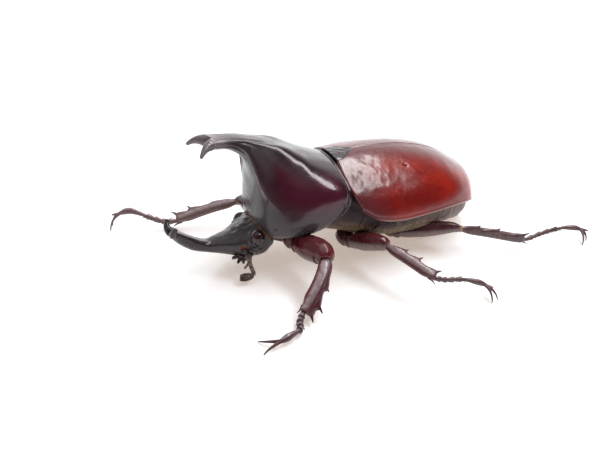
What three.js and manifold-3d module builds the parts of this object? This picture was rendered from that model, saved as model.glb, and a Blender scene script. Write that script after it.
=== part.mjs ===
// A life-size male rhinoceros beetle, standing on its six legs.
// Millimetres, +Z up. The head points to -X and the beetle's left side to -Y.
import * as THREE from 'three';
import { mergeVertices } from 'three/addons/utils/BufferGeometryUtils.js';
import Module from 'manifold-3d';

const wasm = await Module();
wasm.setup();

// Stance: the body is tipped nose up, leans to its right, and is carried above the floor
const bodyPitch = THREE.MathUtils.degToRad(5.8);
const bodyLean = THREE.MathUtils.degToRad(-8.2);
const bodyHeight = 18.5;
// The origin lies on the floor under the middle of the whole beetle
const middleX = 4.35;
const middleY = -1.45;

const shellThickness = 0.6;
const shellGap = 0.25;
const jointGap = 0.12;
const envelopeGap = 0.3;

// Body stations, nose to tail: place along the length, then X and Z of the top, side and under lines,
// the half width, and how square the upper and lower halves are.
const pronotumStations = [
  [0.00, 0.0, 0.0, -0.3, -5.6, -4.6, -12.2, 9.9, 2.1, 2.6],
  [0.06, -0.8, 0.35, -1.4, -5.6, -5.2, -12.7, 10.5, 2.1, 2.6],
  [0.20, -2.8, 1.1, -4.6, -5.9, -7.9, -12.9, 10.7, 2.05, 2.8],
  [0.38, -5.6, 2.2, -8.6, -6.3, -11.8, -12.8, 10.0, 2.0, 2.8],
  [0.52, -8.2, 3.2, -11.5, -6.2, -14.0, -12.3, 8.6, 2.1, 2.6],
  [0.60, -10.0, 3.85, -13.0, -5.2, -14.9, -10.0, 7.1, 2.35, 2.2],
  [0.67, -11.7, 4.45, -14.1, -3.9, -15.2, -7.2, 5.6, 2.7, 1.9],
  [0.74, -13.5, 5.0, -14.9, -1.9, -15.3, -4.6, 4.2, 3.1, 1.7],
  [0.80, -15.3, 5.4, -15.7, 1.0, -15.5, -1.6, 3.2, 3.2, 1.6],
  [0.86, -17.3, 5.85, -17.0, 3.7, -16.8, 1.7, 2.4, 3.2, 1.5],
  [0.92, -19.6, 6.1, -19.4, 4.9, -19.4, 3.5, 2.1, 3.0, 1.35],
  [1.00, -22.6, 6.2, -22.6, 5.3, -22.6, 3.9, 2.3, 2.8, 1.35],
];
const hornRoot = 0.83;

const headStations = [
  [0.00, -12.2, -9.0, -12.2, -12.1, -12.2, -15.4, 4.6, 2.0, 2.4],
  [0.14, -14.1, -9.2, -13.7, -12.2, -13.6, -16.5, 5.1, 1.9, 2.7],
  [0.28, -16.5, -10.45, -15.9, -12.7, -15.6, -16.9, 4.75, 1.8, 2.5],
  [0.42, -19.0, -12.1, -18.5, -14.0, -18.1, -16.7, 3.3, 1.9, 2.3],
  [0.52, -21.3, -12.95, -20.8, -14.4, -20.5, -16.15, 2.2, 2.4, 2.2],
  [0.62, -23.2, -13.35, -23.0, -14.4, -23.0, -15.65, 1.5, 3.0, 2.1],
  [0.76, -25.3, -12.65, -25.6, -13.7, -26.0, -14.9, 1.3, 3.0, 2.0],
  [0.90, -27.4, -11.55, -28.0, -12.4, -28.8, -13.2, 1.3, 3.0, 2.0],
  [1.00, -28.7, -10.75, -29.5, -11.25, -30.4, -11.6, 1.6, 2.6, 2.0],
];
const headEnd = 0.6;

// Wing cases: top line on the seam, then the outer margin and its half width
const elytraStations = [
  [0.00, 0.55, 0.5, 2.0, -7.0, 11.2],
  [0.12, 4.0, 0.8, 5.2, -8.8, 12.0],
  [0.30, 9.2, 1.0, 9.6, -9.3, 12.3],
  [0.50, 15.2, 0.5, 15.2, -8.9, 12.0],
  [0.68, 21.0, -1.1, 20.8, -8.6, 10.8],
  [0.82, 25.6, -3.4, 25.4, -9.2, 8.3],
  [0.91, 27.7, -5.6, 27.4, -10.2, 5.5],
  [0.96, 28.7, -8.2, 28.7, -11.0, 3.2],
  [1.00, 29.9, -11.1, 29.9, -11.7, 0.9],
];
const elytraPower = 1.95;
const elytraFrontBulge = 1.1;

// Under line of the trunk below the wing cases, and how square it is
const bellyStations = [
  [0.00, 0.6, -13.3, 2.3],
  [0.14, 5.0, -14.2, 2.2],
  [0.32, 10.4, -14.6, 2.2],
  [0.60, 18.6, -14.4, 2.2],
  [0.82, 24.4, -14.6, 2.2],
  [0.90, 26.0, -14.1, 2.2],
  [1.00, 28.2, -12.3, 2.2],
];
const bellyStart = 0.02;
const abdomenStart = 0.31;
const pygidiumStart = 0.9;
const pygidiumEnd = 0.985;
const sterniteCount = 6;
const sterniteStep = 0.3;
const mesothoraxFront = [0.4, -0.5, 0.1, -5.8, -4.2, -12.2, 9.3, 2.2, 2.4];

const prosternumStations = [
  [0.0, -11.2, -13.2, -11.2, -13.8, -11.2, -14.6, 2.2, 4.0, 2.0],
  [0.5, -8.4, -13.2, -8.4, -14.0, -8.4, -15.4, 3.2, 4.0, 2.0],
  [1.0, -5.4, -13.1, -5.4, -13.6, -5.4, -14.4, 2.6, 4.0, 2.0],
];

const eyeRadius = 1.4;
const eyeSpot = new THREE.Vector3(-15.1, 4.2, -12.3);

const scutellumHalfWidth = 3.5;
const scutellumLength = 3.9;
const scutellumDepth = 0.6;

// Legs, in place on the floor: joints from hip to foot, claw tips, and the direction of the toothed edge
const legs = {
  fore_left: {
    hip: [-9.4, -7.2, 6.4],
    knee: [-6.9, -14.9, 7.6],
    ankle: [-14.2, -21.8, 2.0],
    inside: [-9.2, -4.6, 8.0],
    foot: [[-15.4, -23.2, 1.4], [-16.1, -25.0, 1.2], [-18.4, -26.2, 1.3], [-20.7, -26.9, 1.15]],
    claws: [[-23.7, -24.0, 0], [-24.2, -28.0, 0]],
    edge: [0.85, -0.52, 0.0],
    footSize: 1.35,
    thigh: [2.4, 2.2],
    shin: [1.3, 1.05, 1.45],
    bend: [2.3, -0.6, 1.6],
    teeth: [[0.6, 1.5, 0.55], [0.86, 2.2, 0.75], [0.985, 1.5, 1.35]],
  },
  mid_left: {
    hip: [0.2, -8.4, 5.0],
    knee: [4.3, -15.4, 7.4],
    ankle: [9.0, -26.4, 5.9],
    inside: [0.5, -5.2, 5.6],
    foot: [[11.2, -26.3, 4.9], [14.7, -26.1, 3.9], [17.5, -26.7, 2.9], [18.9, -27.2, 2.2]],
    claws: [[18.7, -30.1, 0], [20.1, -29.6, 0]],
    edge: [0.9, 0.1, 0.4],
    footSize: 1.05,
    thigh: [1.75, 1.6],
    shin: [0.85, 0.75, 1.15],
    bend: [0, 0, 0.4],
    teeth: [[0.36, 1.0, 0.5], [0.62, 1.2, 0.5], [0.96, 1.3, 0.8]],
  },
  hind_left: {
    hip: [9.8, -7.8, 3.9],
    knee: [20.0, -13.1, 5.4],
    ankle: [32.4, -16.9, 1.9],
    inside: [8.6, -4.6, 5.0],
    foot: [[36.6, -16.5, 2.2], [40.0, -17.0, 2.6], [42.2, -17.5, 2.4], [43.7, -17.9, 1.9]],
    claws: [[42.6, -20.5, 0], [44.0, -19.4, 0]],
    edge: [0, -0.3, 1],
    footSize: 1.0,
    thigh: [1.5, 1.35],
    shin: [0.85, 0.75, 1.2],
    bend: [0, 0, 0.3],
    teeth: [[0.3, 0.9, 0.5], [0.58, 1.1, 0.5], [0.96, 1.2, 0.8]],
  },
  fore_right: {
    hip: [-10.6, 3.4, 5.4],
    knee: [-12.7, 11.4, 5.2],
    ankle: [-24.5, 14.7, 1.7],
    inside: [-9.4, 2.2, 7.4],
    foot: [[-26.9, 15.3, 1.9], [-29.3, 16.7, 2.7], [-32.1, 18.7, 3.5], [-34.0, 19.6, 2.9]],
    claws: [[-36.2, 18.5, 0], [-35.3, 20.0, 0]],
    edge: [-0.2, 0.8, 0.5],
    footSize: 1.2,
    thigh: [1.9, 1.6],
    shin: [0.95, 0.8, 1.3],
    bend: [0, 0, 0.9],
    teeth: [[0.42, 0.7, 0.4], [0.76, 1.5, 0.7], [0.97, 1.5, 1.0]],
  },
  mid_right: {
    hip: [1.5, 3.4, 3.6],
    knee: [4.2, 12.4, 6.1],
    ankle: [7.4, 22.4, 2.5],
    inside: [1.3, 1.8, 5.4],
    foot: [[9.3, 23.4, 2.2], [11.5, 24.3, 2.2], [13.6, 25.0, 2.0], [15.2, 25.4, 1.7]],
    claws: [[16.2, 27.2, 0], [17.4, 26.1, 0]],
    edge: [0.9, -0.1, 0.4],
    footSize: 1.0,
    thigh: [1.6, 1.4],
    shin: [0.8, 0.7, 1.1],
    bend: [0, 0, 0.3],
    teeth: [[0.33, 1.0, 0.5], [0.6, 1.2, 0.5], [0.96, 1.2, 0.8]],
  },
  hind_right: {
    hip: [9.8, 4.2, 3.2],
    knee: [16.4, 12.4, 4.6],
    ankle: [22.6, 19.8, 2.0],
    inside: [8.8, 2.4, 4.8],
    foot: [[24.6, 20.6, 1.9], [26.6, 20.8, 2.0], [28.4, 20.4, 1.9], [29.6, 19.8, 1.6]],
    claws: [[31.2, 20.0, 0], [30.8, 18.4, 0]],
    edge: [0, 0.3, 1],
    footSize: 1.0,
    thigh: [1.5, 1.3],
    shin: [0.8, 0.7, 1.15],
    bend: [0, 0, 0.3],
    teeth: [[0.3, 0.9, 0.5], [0.58, 1.1, 0.5], [0.96, 1.2, 0.8]],
  },
};

const colours = {
  darkShell: [0x24161a, 0.22],
  redShell: [0x5e1712, 0.24],
  legShell: [0x36181c, 0.3],
  underside: [0x4a3428, 0.55],
  eyeShell: [0x2a0f12, 0.12],
};

function material([colour, roughness]) {
  return new THREE.MeshStandardMaterial({ color: colour, roughness, metalness: 0 });
}

// Values at t on a smooth line through rows of [t, values...]
function through(rows, t) {
  let low = 0;
  while (low < rows.length - 2 && t > rows[low + 1][0]) low += 1;
  const slope = (row, column) => {
    const before = rows[Math.max(row - 1, 0)];
    const after = rows[Math.min(row + 1, rows.length - 1)];
    return (after[column] - before[column]) / (after[0] - before[0]);
  };
  const start = rows[low];
  const end = rows[low + 1];
  const span = end[0] - start[0];
  const part = (t - start[0]) / span;
  const rise = part * part * (3 - 2 * part);
  return start.slice(1).map((value, index) => {
    const column = index + 1;
    const leave = span * slope(low, column) * part * (1 - part) * (1 - part);
    const arrive = span * slope(low + 1, column) * part * part * (part - 1);
    return value + (end[column] - value) * rise + leave + arrive;
  });
}

function volume(shape) {
  const spots = shape.attributes.position;
  const corner = [new THREE.Vector3(), new THREE.Vector3(), new THREE.Vector3()];
  let total = 0;
  for (let i = 0; i < shape.index.count; i += 3) {
    corner.forEach((spot, n) => spot.fromBufferAttribute(spots, shape.index.getX(i + n)));
    total += corner[0].dot(corner[1].cross(corner[2])) / 6;
  }
  return total;
}

// Shares the corners of a surface and turns its faces outwards
function closed(surface) {
  surface.deleteAttribute('normal');
  surface.deleteAttribute('uv');
  const shape = mergeVertices(surface, 1e-4);
  if (volume(shape) < 0) shape.setIndex(Array.from(shape.index.array).reverse());
  return shape;
}

// Rings of points at even stations t from 0 to 1, with a flat cap at each end
function rings(around, along, place) {
  const surface = new THREE.SphereGeometry(1, around, along + 1);
  const spots = surface.attributes.position;
  for (let i = 0; i < spots.count; i += 1) {
    const row = Math.floor(i / (around + 1));
    const t = THREE.MathUtils.clamp((row - 1) / (along - 1), 0, 1);
    const turn = 2 * Math.PI * ((i % (around + 1)) % around) / around;
    const capped = row === 0 || row === along + 1;
    const spot = capped ? place(t, 0).lerp(place(t, Math.PI), 0.5) : place(t, turn);
    spots.setXYZ(i, spot.x, spot.y, spot.z);
  }
  return closed(surface);
}

// A curved plate: place gets its length, breadth and depth, each from 0 to 1
function plate(along, across, place) {
  const surface = new THREE.BoxGeometry(1, 1, 1, along, across, 1);
  const spots = surface.attributes.position;
  for (let i = 0; i < spots.count; i += 1) {
    const spot = place(spots.getX(i) + 0.5, spots.getY(i) + 0.5, spots.getZ(i) + 0.5);
    spots.setXYZ(i, spot.x, spot.y, spot.z);
  }
  return closed(surface);
}

// An oval section carried along a path; size gives its half breadth along `wide` and its half depth
function sweep(path, wide, size, around, along, grow = 0) {
  const hint = new THREE.Vector3(...wide);
  return rings(around, along, (t, turn) => {
    const ahead = path.getTangent(t);
    const side = hint.clone().addScaledVector(ahead, -hint.dot(ahead)).normalize();
    const deep = ahead.clone().cross(side);
    const [breadth, depth] = size(t);
    const end = t === 0 ? -grow : t === 1 ? grow : 0;
    return path.getPoint(t)
      .addScaledVector(side, (breadth + grow) * Math.cos(turn))
      .addScaledVector(deep, (depth + grow) * Math.sin(turn))
      .addScaledVector(ahead, end);
  });
}

function toSolid(shape) {
  return new wasm.Manifold(new wasm.Mesh({
    numProp: 3,
    vertProperties: new Float32Array(shape.attributes.position.array),
    triVerts: new Uint32Array(shape.index.array),
  }));
}

function toShape(solid) {
  const mesh = solid.getMesh();
  const shape = new THREE.BufferGeometry();
  shape.setAttribute('position', new THREE.BufferAttribute(mesh.vertProperties, 3));
  shape.setIndex(Array.from(mesh.triVerts));
  return shape;
}

function joined(shapes) {
  return toShape(shapes.map(toSolid).reduce((all, next) => all.add(next)));
}

function without(shape, cutters) {
  return toShape(cutters.map(toSolid).reduce((rest, next) => rest.subtract(next), toSolid(shape)));
}

// A curved spine from root to tip
function spike(root, bend, tip, radius, tipRadius, around = 6, along = 4, grow = 0) {
  const path = new THREE.QuadraticBezierCurve3(root, bend, tip);
  const size = (t) => {
    const half = THREE.MathUtils.lerp(radius, tipRadius, Math.pow(t, 0.8));
    return [half, half];
  };
  return sweep(path, [0.31, 0.52, 0.79], size, around, along, grow);
}

// A point on a body section, between its side line and its top or under line
function sectionPoint([topX, topZ, sideX, sideZ, lowX, lowZ, halfWidth, upper, lower], turn, grow = 0) {
  const rise = Math.sin(turn);
  const out = Math.cos(turn);
  const above = rise > 0;
  const power = 2 / (above ? upper : lower);
  const reach = Math.pow(Math.abs(rise), power);
  const endX = above ? topX : lowX;
  const endZ = above ? topZ + grow : lowZ - grow;
  const x = THREE.MathUtils.lerp(sideX, endX, reach);
  const y = (halfWidth + grow) * Math.sign(out) * Math.pow(Math.abs(out), power);
  const z = THREE.MathUtils.lerp(sideZ, endZ, reach);
  return new THREE.Vector3(x, y, z);
}

function bodyLength(stations, from, to, around, along, grow = 0) {
  return rings(around, along, (t, turn) => {
    return sectionPoint(through(stations, THREE.MathUtils.lerp(from, to, t)), turn, grow);
  });
}

// Moves a point of the wing cases straight in, towards a spine inside the body
function inward(spot, depth) {
  const spine = new THREE.Vector3(THREE.MathUtils.clamp(spot.x, 6, 20), 0, -8.5);
  return spot.clone().addScaledVector(spine.sub(spot).normalize(), depth);
}

function elytraPoint(s, turn, depth) {
  const [topX, topZ, sideX, sideZ, halfWidth] = through(elytraStations, s);
  const section = [topX, topZ, sideX, sideZ, sideX, sideZ, halfWidth, elytraPower, 2];
  const spot = sectionPoint(section, turn);
  const nearFront = 1 - THREE.MathUtils.smoothstep(s, 0, 0.22);
  spot.x -= elytraFrontBulge * Math.pow(Math.sin(2 * turn), 2) * nearFront;
  return inward(spot, depth);
}

// A point of the trunk: it follows the inside of the wing cases above, and the belly below
function trunkPoint(s, turn, grow = 0) {
  const depth = shellThickness + shellGap - grow;
  if (Math.sin(turn) >= 0) return elytraPoint(s, turn, depth);
  const side = elytraPoint(s, 0, depth);
  const [lowX, lowZ, power] = through(bellyStations, s);
  const section = [side.x, side.z, side.x, side.z, lowX, lowZ - grow, side.y, 2, power];
  return sectionPoint(section, turn);
}

function trunkLength(from, to, around, along, grow = 0, shape = () => 0) {
  return rings(around, along, (t, turn) => {
    const s = THREE.MathUtils.lerp(from, to, t);
    const spot = trunkPoint(s, turn, grow);
    const below = Math.max(0, -Math.sin(turn));
    return spot.setZ(spot.z + shape(t) * below);
  });
}

const beetle = new THREE.Group();
const body = new THREE.Group();
beetle.position.set(-middleX, -middleY, 0);
body.rotation.set(bodyLean, bodyPitch, 0, 'YXZ');
body.position.z = bodyHeight;
body.updateMatrix();
beetle.add(body);

function place(group, name, shape, finish) {
  shape.computeVertexNormals();
  const mesh = new THREE.Mesh(shape, material(finish));
  mesh.name = name;
  group.add(mesh);
}

const sides = { left: -1, right: 1 };

// Head, its horn, eyes and mouth
const headWhole = bodyLength(headStations, 0, headEnd, 16, 10);
const headGrown = bodyLength(headStations, 0, headEnd, 16, 10, jointGap);
const headSocket = bodyLength(headStations, 0, 0.45, 16, 7, envelopeGap);

function eye(side, grow) {
  const ball = new THREE.SphereGeometry(eyeRadius + grow, 8, 6);
  ball.translate(eyeSpot.x, side * eyeSpot.y, eyeSpot.z);
  return closed(ball);
}

function addHead() {
  const sockets = Object.values(sides).map((side) => eye(side, jointGap));
  place(body, 'head', without(headWhole, sockets), colours.darkShell);
  const shaft = bodyLength(headStations, headEnd + 0.01, 1, 10, 6);
  const tines = Object.values(sides).map((side) => spike(
    new THREE.Vector3(-28.9, side * 0.6, -11.3),
    new THREE.Vector3(-30.7, side * 1.75, -10.9),
    new THREE.Vector3(-29.9, side * 2.3, -9.2),
    0.9, 0.36,
  ));
  place(body, 'head_horn', joined([shaft, ...tines]), colours.darkShell);
  for (const [name, side] of Object.entries(sides)) {
    place(body, `eye_${name}`, eye(side, 0), colours.eyeShell);
  }
}

// Lumpy toothed jaws under the front of the head, and the feelers beside them
function addMouth() {
  for (const [name, side] of Object.entries(sides)) {
    const root = new THREE.Vector3(-17.5, side * 2.5, -16.1);
    const lump = new THREE.SphereGeometry(1, 7, 4);
    lump.scale(1.25, 0.8, 0.85);
    lump.translate(root.x, root.y, root.z);
    const tips = [[-19.5, 2.9, -16.2], [-18.5, 3.2, -17.3], [-17.3, 3.2, -17.6]];
    const teeth = tips.map(([x, y, z]) => {
      const tip = new THREE.Vector3(x, side * y, z);
      return spike(root.clone().lerp(tip, 0.2), root.clone().lerp(tip, 0.55), tip, 0.6, 0.25, 4, 2);
    });
    const palp = spike(
      new THREE.Vector3(-15.6, side * 1.6, -15.4),
      new THREE.Vector3(-16.3, side * 1.7, -17.2),
      new THREE.Vector3(-17.1, side * 1.5, -18.0),
      0.35, 0.26, 5, 3,
    );
    const jaw = joined([closed(lump), ...teeth]);
    place(body, `mandible_${name}`, without(jaw, [headGrown]), colours.darkShell);
    place(body, `palp_${name}`, without(palp, [headGrown]), colours.legShell);
  }
}

function antenna(name, side, joints, clubEnd) {
  const path = new THREE.CatmullRomCurve3(joints.map((joint) => new THREE.Vector3(...joint)));
  const beads = (t) => 0.3 + 0.12 * Math.abs(Math.sin(4.5 * Math.PI * t));
  const stem = sweep(path, [0, 1, 0], (t) => [beads(t), beads(t)], 5, 10);
  const root = new THREE.Vector3(...joints.at(-1));
  const tip = new THREE.Vector3(...clubEnd);
  const line = new THREE.LineCurve3(root.clone().lerp(tip, 0.16), tip);
  const leaf = (t) => Math.sqrt(Math.max(0.03, 1 - Math.pow(1.9 * t - 0.95, 2)));
  const club = sweep(line, [0, 0, 1], (t) => [0.6 * leaf(t), 0.78 * leaf(t)], 8, 6);
  place(body, `antenna_${name}`, without(stem, [headGrown]), colours.legShell);
  place(body, `antenna_club_${name}`, club, colours.legShell);
}

function addAntennae() {
  antenna('left', -1, [
    [-16.5, -4.3, -15.0], [-16.7, -4.5, -16.6], [-16.4, -4.5, -17.7], [-15.9, -4.5, -18.9], [-15.85, -4.5, -19.5],
  ], [-18.5, -4.5, -19.7]);
  antenna('right', 1, [
    [-15.2, 4.0, -14.8], [-14.9, 4.5, -15.4], [-14.4, 4.6, -15.8], [-13.8, 4.6, -16.1], [-13.4, 4.6, -16.2],
  ], [-10.8, 4.4, -16.1]);
}

// The great forward shield with its forked horn
function addPronotum() {
  const shield = bodyLength(pronotumStations, 0, hornRoot, 22, 14);
  place(body, 'pronotum', without(shield, [headSocket]), colours.darkShell);
  const shaft = bodyLength(pronotumStations, hornRoot + 0.012, 1, 12, 6);
  const tines = Object.values(sides).map((side) => spike(
    new THREE.Vector3(-21.6, side * 0.9, 5.1),
    new THREE.Vector3(-24.6, side * 2.3, 5.9),
    new THREE.Vector3(-26.0, side * 3.6, 4.0),
    1.25, 0.26, 6, 4,
  ));
  place(body, 'thoracic_horn', joined([shaft, ...tines]), colours.darkShell);
  const keel = bodyLength(prosternumStations, 0, 1, 10, 5);
  place(body, 'prosternum', keel, colours.underside);
}

function scutellum(grow) {
  const outline = new THREE.Shape();
  const half = scutellumHalfWidth + grow;
  const tip = scutellumLength + grow;
  outline.moveTo(-0.5, -half);
  outline.quadraticCurveTo(tip * 0.6, -half * 0.75, tip, 0);
  outline.quadraticCurveTo(tip * 0.6, half * 0.75, -0.5, half);
  const slab = new THREE.ExtrudeGeometry(outline, {
    depth: scutellumDepth + 2 * grow,
    bevelEnabled: false,
    curveSegments: 4,
  });
  slab.rotateY(THREE.MathUtils.degToRad(-7));
  slab.translate(0.9, 0, -0.1 - grow);
  return closed(slab);
}

function addElytra() {
  const notch = scutellum(0.2);
  for (const [name, side] of Object.entries(sides)) {
    const shell = plate(12, 7, (s, across, depth) => {
      const turn = (Math.PI / 2) * (1 - across);
      const spot = elytraPoint(s, turn, shellThickness * (1 - depth));
      return spot.setY(side * (spot.y + 0.05));
    });
    place(body, `elytron_${name}`, without(shell, [notch]), colours.redShell);
  }
  place(body, 'scutellum', scutellum(0), colours.darkShell);
}

function addTrunk() {
  const back = (turn) => trunkPoint(bellyStart, turn);
  const collar = rings(16, 3, (t, turn) => {
    return sectionPoint(mesothoraxFront, turn).lerp(back(turn), t);
  });
  const segments = (t) => {
    const place = (t * sterniteCount) % 1;
    return sterniteStep * (1 - place);
  };
  const gap = 0.005;
  place(body, 'mesothorax', collar, colours.underside);
  const breast = trunkLength(bellyStart + gap * 2, abdomenStart - gap, 16, 4);
  place(body, 'metathorax', breast, colours.underside);
  const tail = trunkLength(abdomenStart, pygidiumStart - gap, 16, 12, 0, segments);
  place(body, 'abdomen', tail, colours.underside);
  place(body, 'pygidium', trunkLength(pygidiumStart, pygidiumEnd, 14, 4), colours.redShell);
}

// Everything a leg has to keep clear of, slightly grown and in the stance of the body
const envelope = [
  bodyLength(pronotumStations, 0, 0.6, 16, 7, envelopeGap),
  bodyLength(prosternumStations, 0, 1, 12, 7, envelopeGap),
  trunkLength(0, pygidiumEnd, 16, 8, envelopeGap),
].map((shape) => shape.applyMatrix4(body.matrix));

function spot(values) {
  return new THREE.Vector3(...values);
}

// How full a hip joint and a thigh are along their length, as shares of their widest size
const coxaGirth = [[0, 0.95], [0.55, 0.82], [0.8, 0.72], [1, 0.45]];
const femurGirth = [[0, 0.4], [0.15, 0.8], [0.4, 1.0], [0.65, 1.0], [0.85, 0.84], [1, 0.42]];

function coxaShape(leg, grow) {
  const hip = spot(leg.hip);
  const ahead = spot(leg.knee).sub(hip).normalize();
  const path = new THREE.CatmullRomCurve3([
    spot(leg.inside).lerp(hip, 0.5),
    hip.clone().addScaledVector(ahead, 0.4),
    hip.clone().addScaledVector(ahead, 1.5),
  ]);
  const half = (t) => Math.min(...leg.thigh) * through(coxaGirth, t)[0];
  return sweep(path, [1, 0, 0], (t) => [half(t) * 1.08, half(t)], 7, 4, grow);
}

// The thigh bends down at the knee and covers the top of the shin
function femurShape(leg, grow) {
  const [tall, deep] = leg.thigh;
  const hip = spot(leg.hip);
  const knee = spot(leg.knee);
  const ahead = knee.clone().sub(hip).normalize();
  const down = spot(leg.ankle).sub(knee).normalize();
  const lift = new THREE.Vector3(0, 0, 0.3);
  const path = new THREE.CatmullRomCurve3([
    hip,
    hip.clone().lerp(knee, 0.45).add(lift),
    hip.clone().lerp(knee, 0.9).add(lift),
    knee.clone().addScaledVector(ahead, 0.1 * tall).addScaledVector(down, 0.5 * tall),
  ]);
  const half = (t) => through(femurGirth, t)[0];
  return sweep(path, [0, 0, 1], (t) => [tall * half(t), deep * half(t)], 8, 6, grow);
}

function tibiaParts(leg, grow) {
  const knee = spot(leg.knee);
  const ankle = spot(leg.ankle);
  const middle = knee.clone().lerp(ankle, 0.5).add(spot(leg.bend));
  const path = new THREE.QuadraticBezierCurve3(knee, middle, ankle);
  const [neck, deep, blade] = leg.shin;
  const neckShare = (t) => Math.min(1, 0.66 + 1.5 * t);
  const half = (t) => THREE.MathUtils.lerp(neck, blade, Math.pow(t, 1.5)) * neckShare(t);
  const shaft = sweep(path, leg.edge, (t) => [half(t), deep * neckShare(t)], 6, 5, grow);
  const ahead = ankle.clone().sub(knee).normalize();
  const edge = spot(leg.edge);
  edge.addScaledVector(ahead, -edge.dot(ahead)).normalize();
  const teeth = leg.teeth.map(([t, reach, lean]) => {
    const root = path.getPoint(t - 0.04).addScaledVector(edge, half(t) * 0.45);
    const bend = root.clone().addScaledVector(edge, reach * 0.55).addScaledVector(ahead, reach * lean * 0.35);
    const tip = root.clone().addScaledVector(edge, reach).addScaledVector(ahead, reach * lean);
    return spike(root, bend, tip, 0.42 * half(t) + 0.2, 0.14, 4, 2, grow);
  });
  const inner = path.getPoint(0.94).addScaledVector(edge, -half(1) * 0.6);
  const spur = spike(
    inner,
    inner.clone().addScaledVector(ahead, 0.9),
    inner.clone().addScaledVector(ahead, 1.7).addScaledVector(edge, -0.5),
    0.4, 0.14, 4, 2, grow,
  );
  return [shaft, ...teeth, spur];
}

function tarsusShape(leg, grow) {
  const joints = [leg.ankle, ...leg.foot].map(spot);
  const path = new THREE.CatmullRomCurve3(joints);
  const beads = (t) => {
    const smallPart = 0.52;
    const along = t < smallPart ? (t / smallPart) * 4 % 1 : (t - smallPart) / (1 - smallPart);
    return leg.footSize * (0.3 + 0.22 * Math.sin(Math.PI * Math.pow(along, 1.5)));
  };
  return sweep(path, [0, 0, 1], (t) => [beads(t), beads(t)], 5, 11, grow);
}

// Two curved claws and the small lobe between them; the tips are flat where they stand on the floor
function clawShape(leg) {
  const root = spot(leg.foot.at(-1));
  const from = spot(leg.foot.at(-2));
  const ahead = root.clone().sub(from).normalize();
  const claws = leg.claws.map((claw) => {
    const tip = spot(claw);
    const bend = root.clone().lerp(tip, 0.55).addScaledVector(ahead, 0.8);
    bend.z = Math.max(bend.z, root.z * 0.75);
    const start = root.clone().addScaledVector(ahead, 0.35);
    return spike(start, bend, tip.setZ(0.12), 0.42, 0.25, 4, 3);
  });
  const lobe = spike(
    root,
    root.clone().addScaledVector(ahead, 0.7),
    root.clone().addScaledVector(ahead, 1.4),
    0.35, 0.25, 4, 2,
  );
  const shape = joined([...claws, lobe]);
  const spots = shape.attributes.position;
  for (let i = 0; i < spots.count; i += 1) spots.setZ(i, Math.max(0, spots.getZ(i)));
  return shape;
}

function addLeg(name, leg) {
  const finish = colours.legShell;
  const coxaGrown = coxaShape(leg, jointGap);
  const femurGrown = femurShape(leg, jointGap);
  const tibiaGrown = tibiaParts(leg, jointGap);
  const tarsusGrown = tarsusShape(leg, jointGap);
  place(beetle, `${name}_coxa`, without(coxaShape(leg, 0), envelope), finish);
  place(beetle, `${name}_femur`, without(femurShape(leg, 0), [coxaGrown, ...envelope]), finish);
  place(beetle, `${name}_tibia`, without(joined(tibiaParts(leg, 0)), [femurGrown]), finish);
  place(beetle, `${name}_tarsus`, without(tarsusShape(leg, 0), tibiaGrown), finish);
  place(beetle, `${name}_claws`, without(clawShape(leg), [tarsusGrown]), finish);
}

addPronotum();
addHead();
addMouth();
addAntennae();
addElytra();
addTrunk();
for (const [name, leg] of Object.entries(legs)) addLeg(name, leg);

export default beetle;
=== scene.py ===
import math

import bpy
import numpy as np
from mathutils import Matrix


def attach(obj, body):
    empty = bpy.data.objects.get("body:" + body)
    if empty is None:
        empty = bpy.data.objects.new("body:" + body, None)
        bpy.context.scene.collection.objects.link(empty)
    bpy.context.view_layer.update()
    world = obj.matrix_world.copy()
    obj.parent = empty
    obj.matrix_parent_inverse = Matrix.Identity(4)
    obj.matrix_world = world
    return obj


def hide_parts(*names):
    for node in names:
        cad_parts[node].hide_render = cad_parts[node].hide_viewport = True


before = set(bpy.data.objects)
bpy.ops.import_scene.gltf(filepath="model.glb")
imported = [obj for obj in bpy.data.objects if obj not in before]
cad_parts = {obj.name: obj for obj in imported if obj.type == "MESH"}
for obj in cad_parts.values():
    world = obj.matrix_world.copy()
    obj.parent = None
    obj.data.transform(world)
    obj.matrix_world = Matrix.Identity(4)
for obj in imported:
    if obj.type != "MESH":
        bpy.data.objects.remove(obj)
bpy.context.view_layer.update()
print("frame loaded")

mm = 0.001  # shapes are worked out in millimetres
pi = math.pi
sides = (("left", -1), ("right", 1))  # the beetle's left has a negative Y
chance = np.random.default_rng(7)  # every random draw comes from here, in one fixed order

# how the body is carried above the floor, and the point of the floor that is the origin
stance = {"pitch": 5.8, "lean": -8.2, "height": 18.5, "middleX": 4.35, "middleY": -1.45}


def axisTurn(axis, degrees):  # turning matrix about one axis: cosines on the diagonal, sines beside it
    a, b = [(1, 2), (2, 0), (0, 1)][axis]
    turn = np.eye(3)
    c, s = math.cos(math.radians(degrees)), math.sin(math.radians(degrees))
    turn[a, a], turn[b, b], turn[a, b], turn[b, a] = c, c, -s, s
    return turn


bodyTurn = axisTurn(1, stance["pitch"]) @ axisTurn(0, stance["lean"])
floorMiddle = np.array([stance["middleX"], stance["middleY"], 0.0])


def fromBody(points):  # body space to the floor: turned, lifted, then centred
    return points @ bodyTurn.T + [0, 0, stance["height"]] - floorMiddle


def fromFloor(points):  # leg space is already upright
    return points - floorMiddle


def mirrored(side):  # factors that carry a right-hand point to either side
    return np.array([1, side, 1])


def turns(count):  # equal angles round a full turn
    return np.arange(count) * 2 * pi / count


def unit(vectors):  # each vector divided by its own length
    return vectors / np.maximum(np.linalg.norm(vectors, axis=-1, keepdims=True), 1e-9)


def lerp(a, b, t):  # a at 0, b at 1, straight between
    return a + (b - a) * t


def smooth(value, low, high):  # 0 below low, 1 above high, an s-curve between
    t = np.clip((value - low) / (high - low), 0, 1)
    return t * t * (3 - 2 * t)


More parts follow.
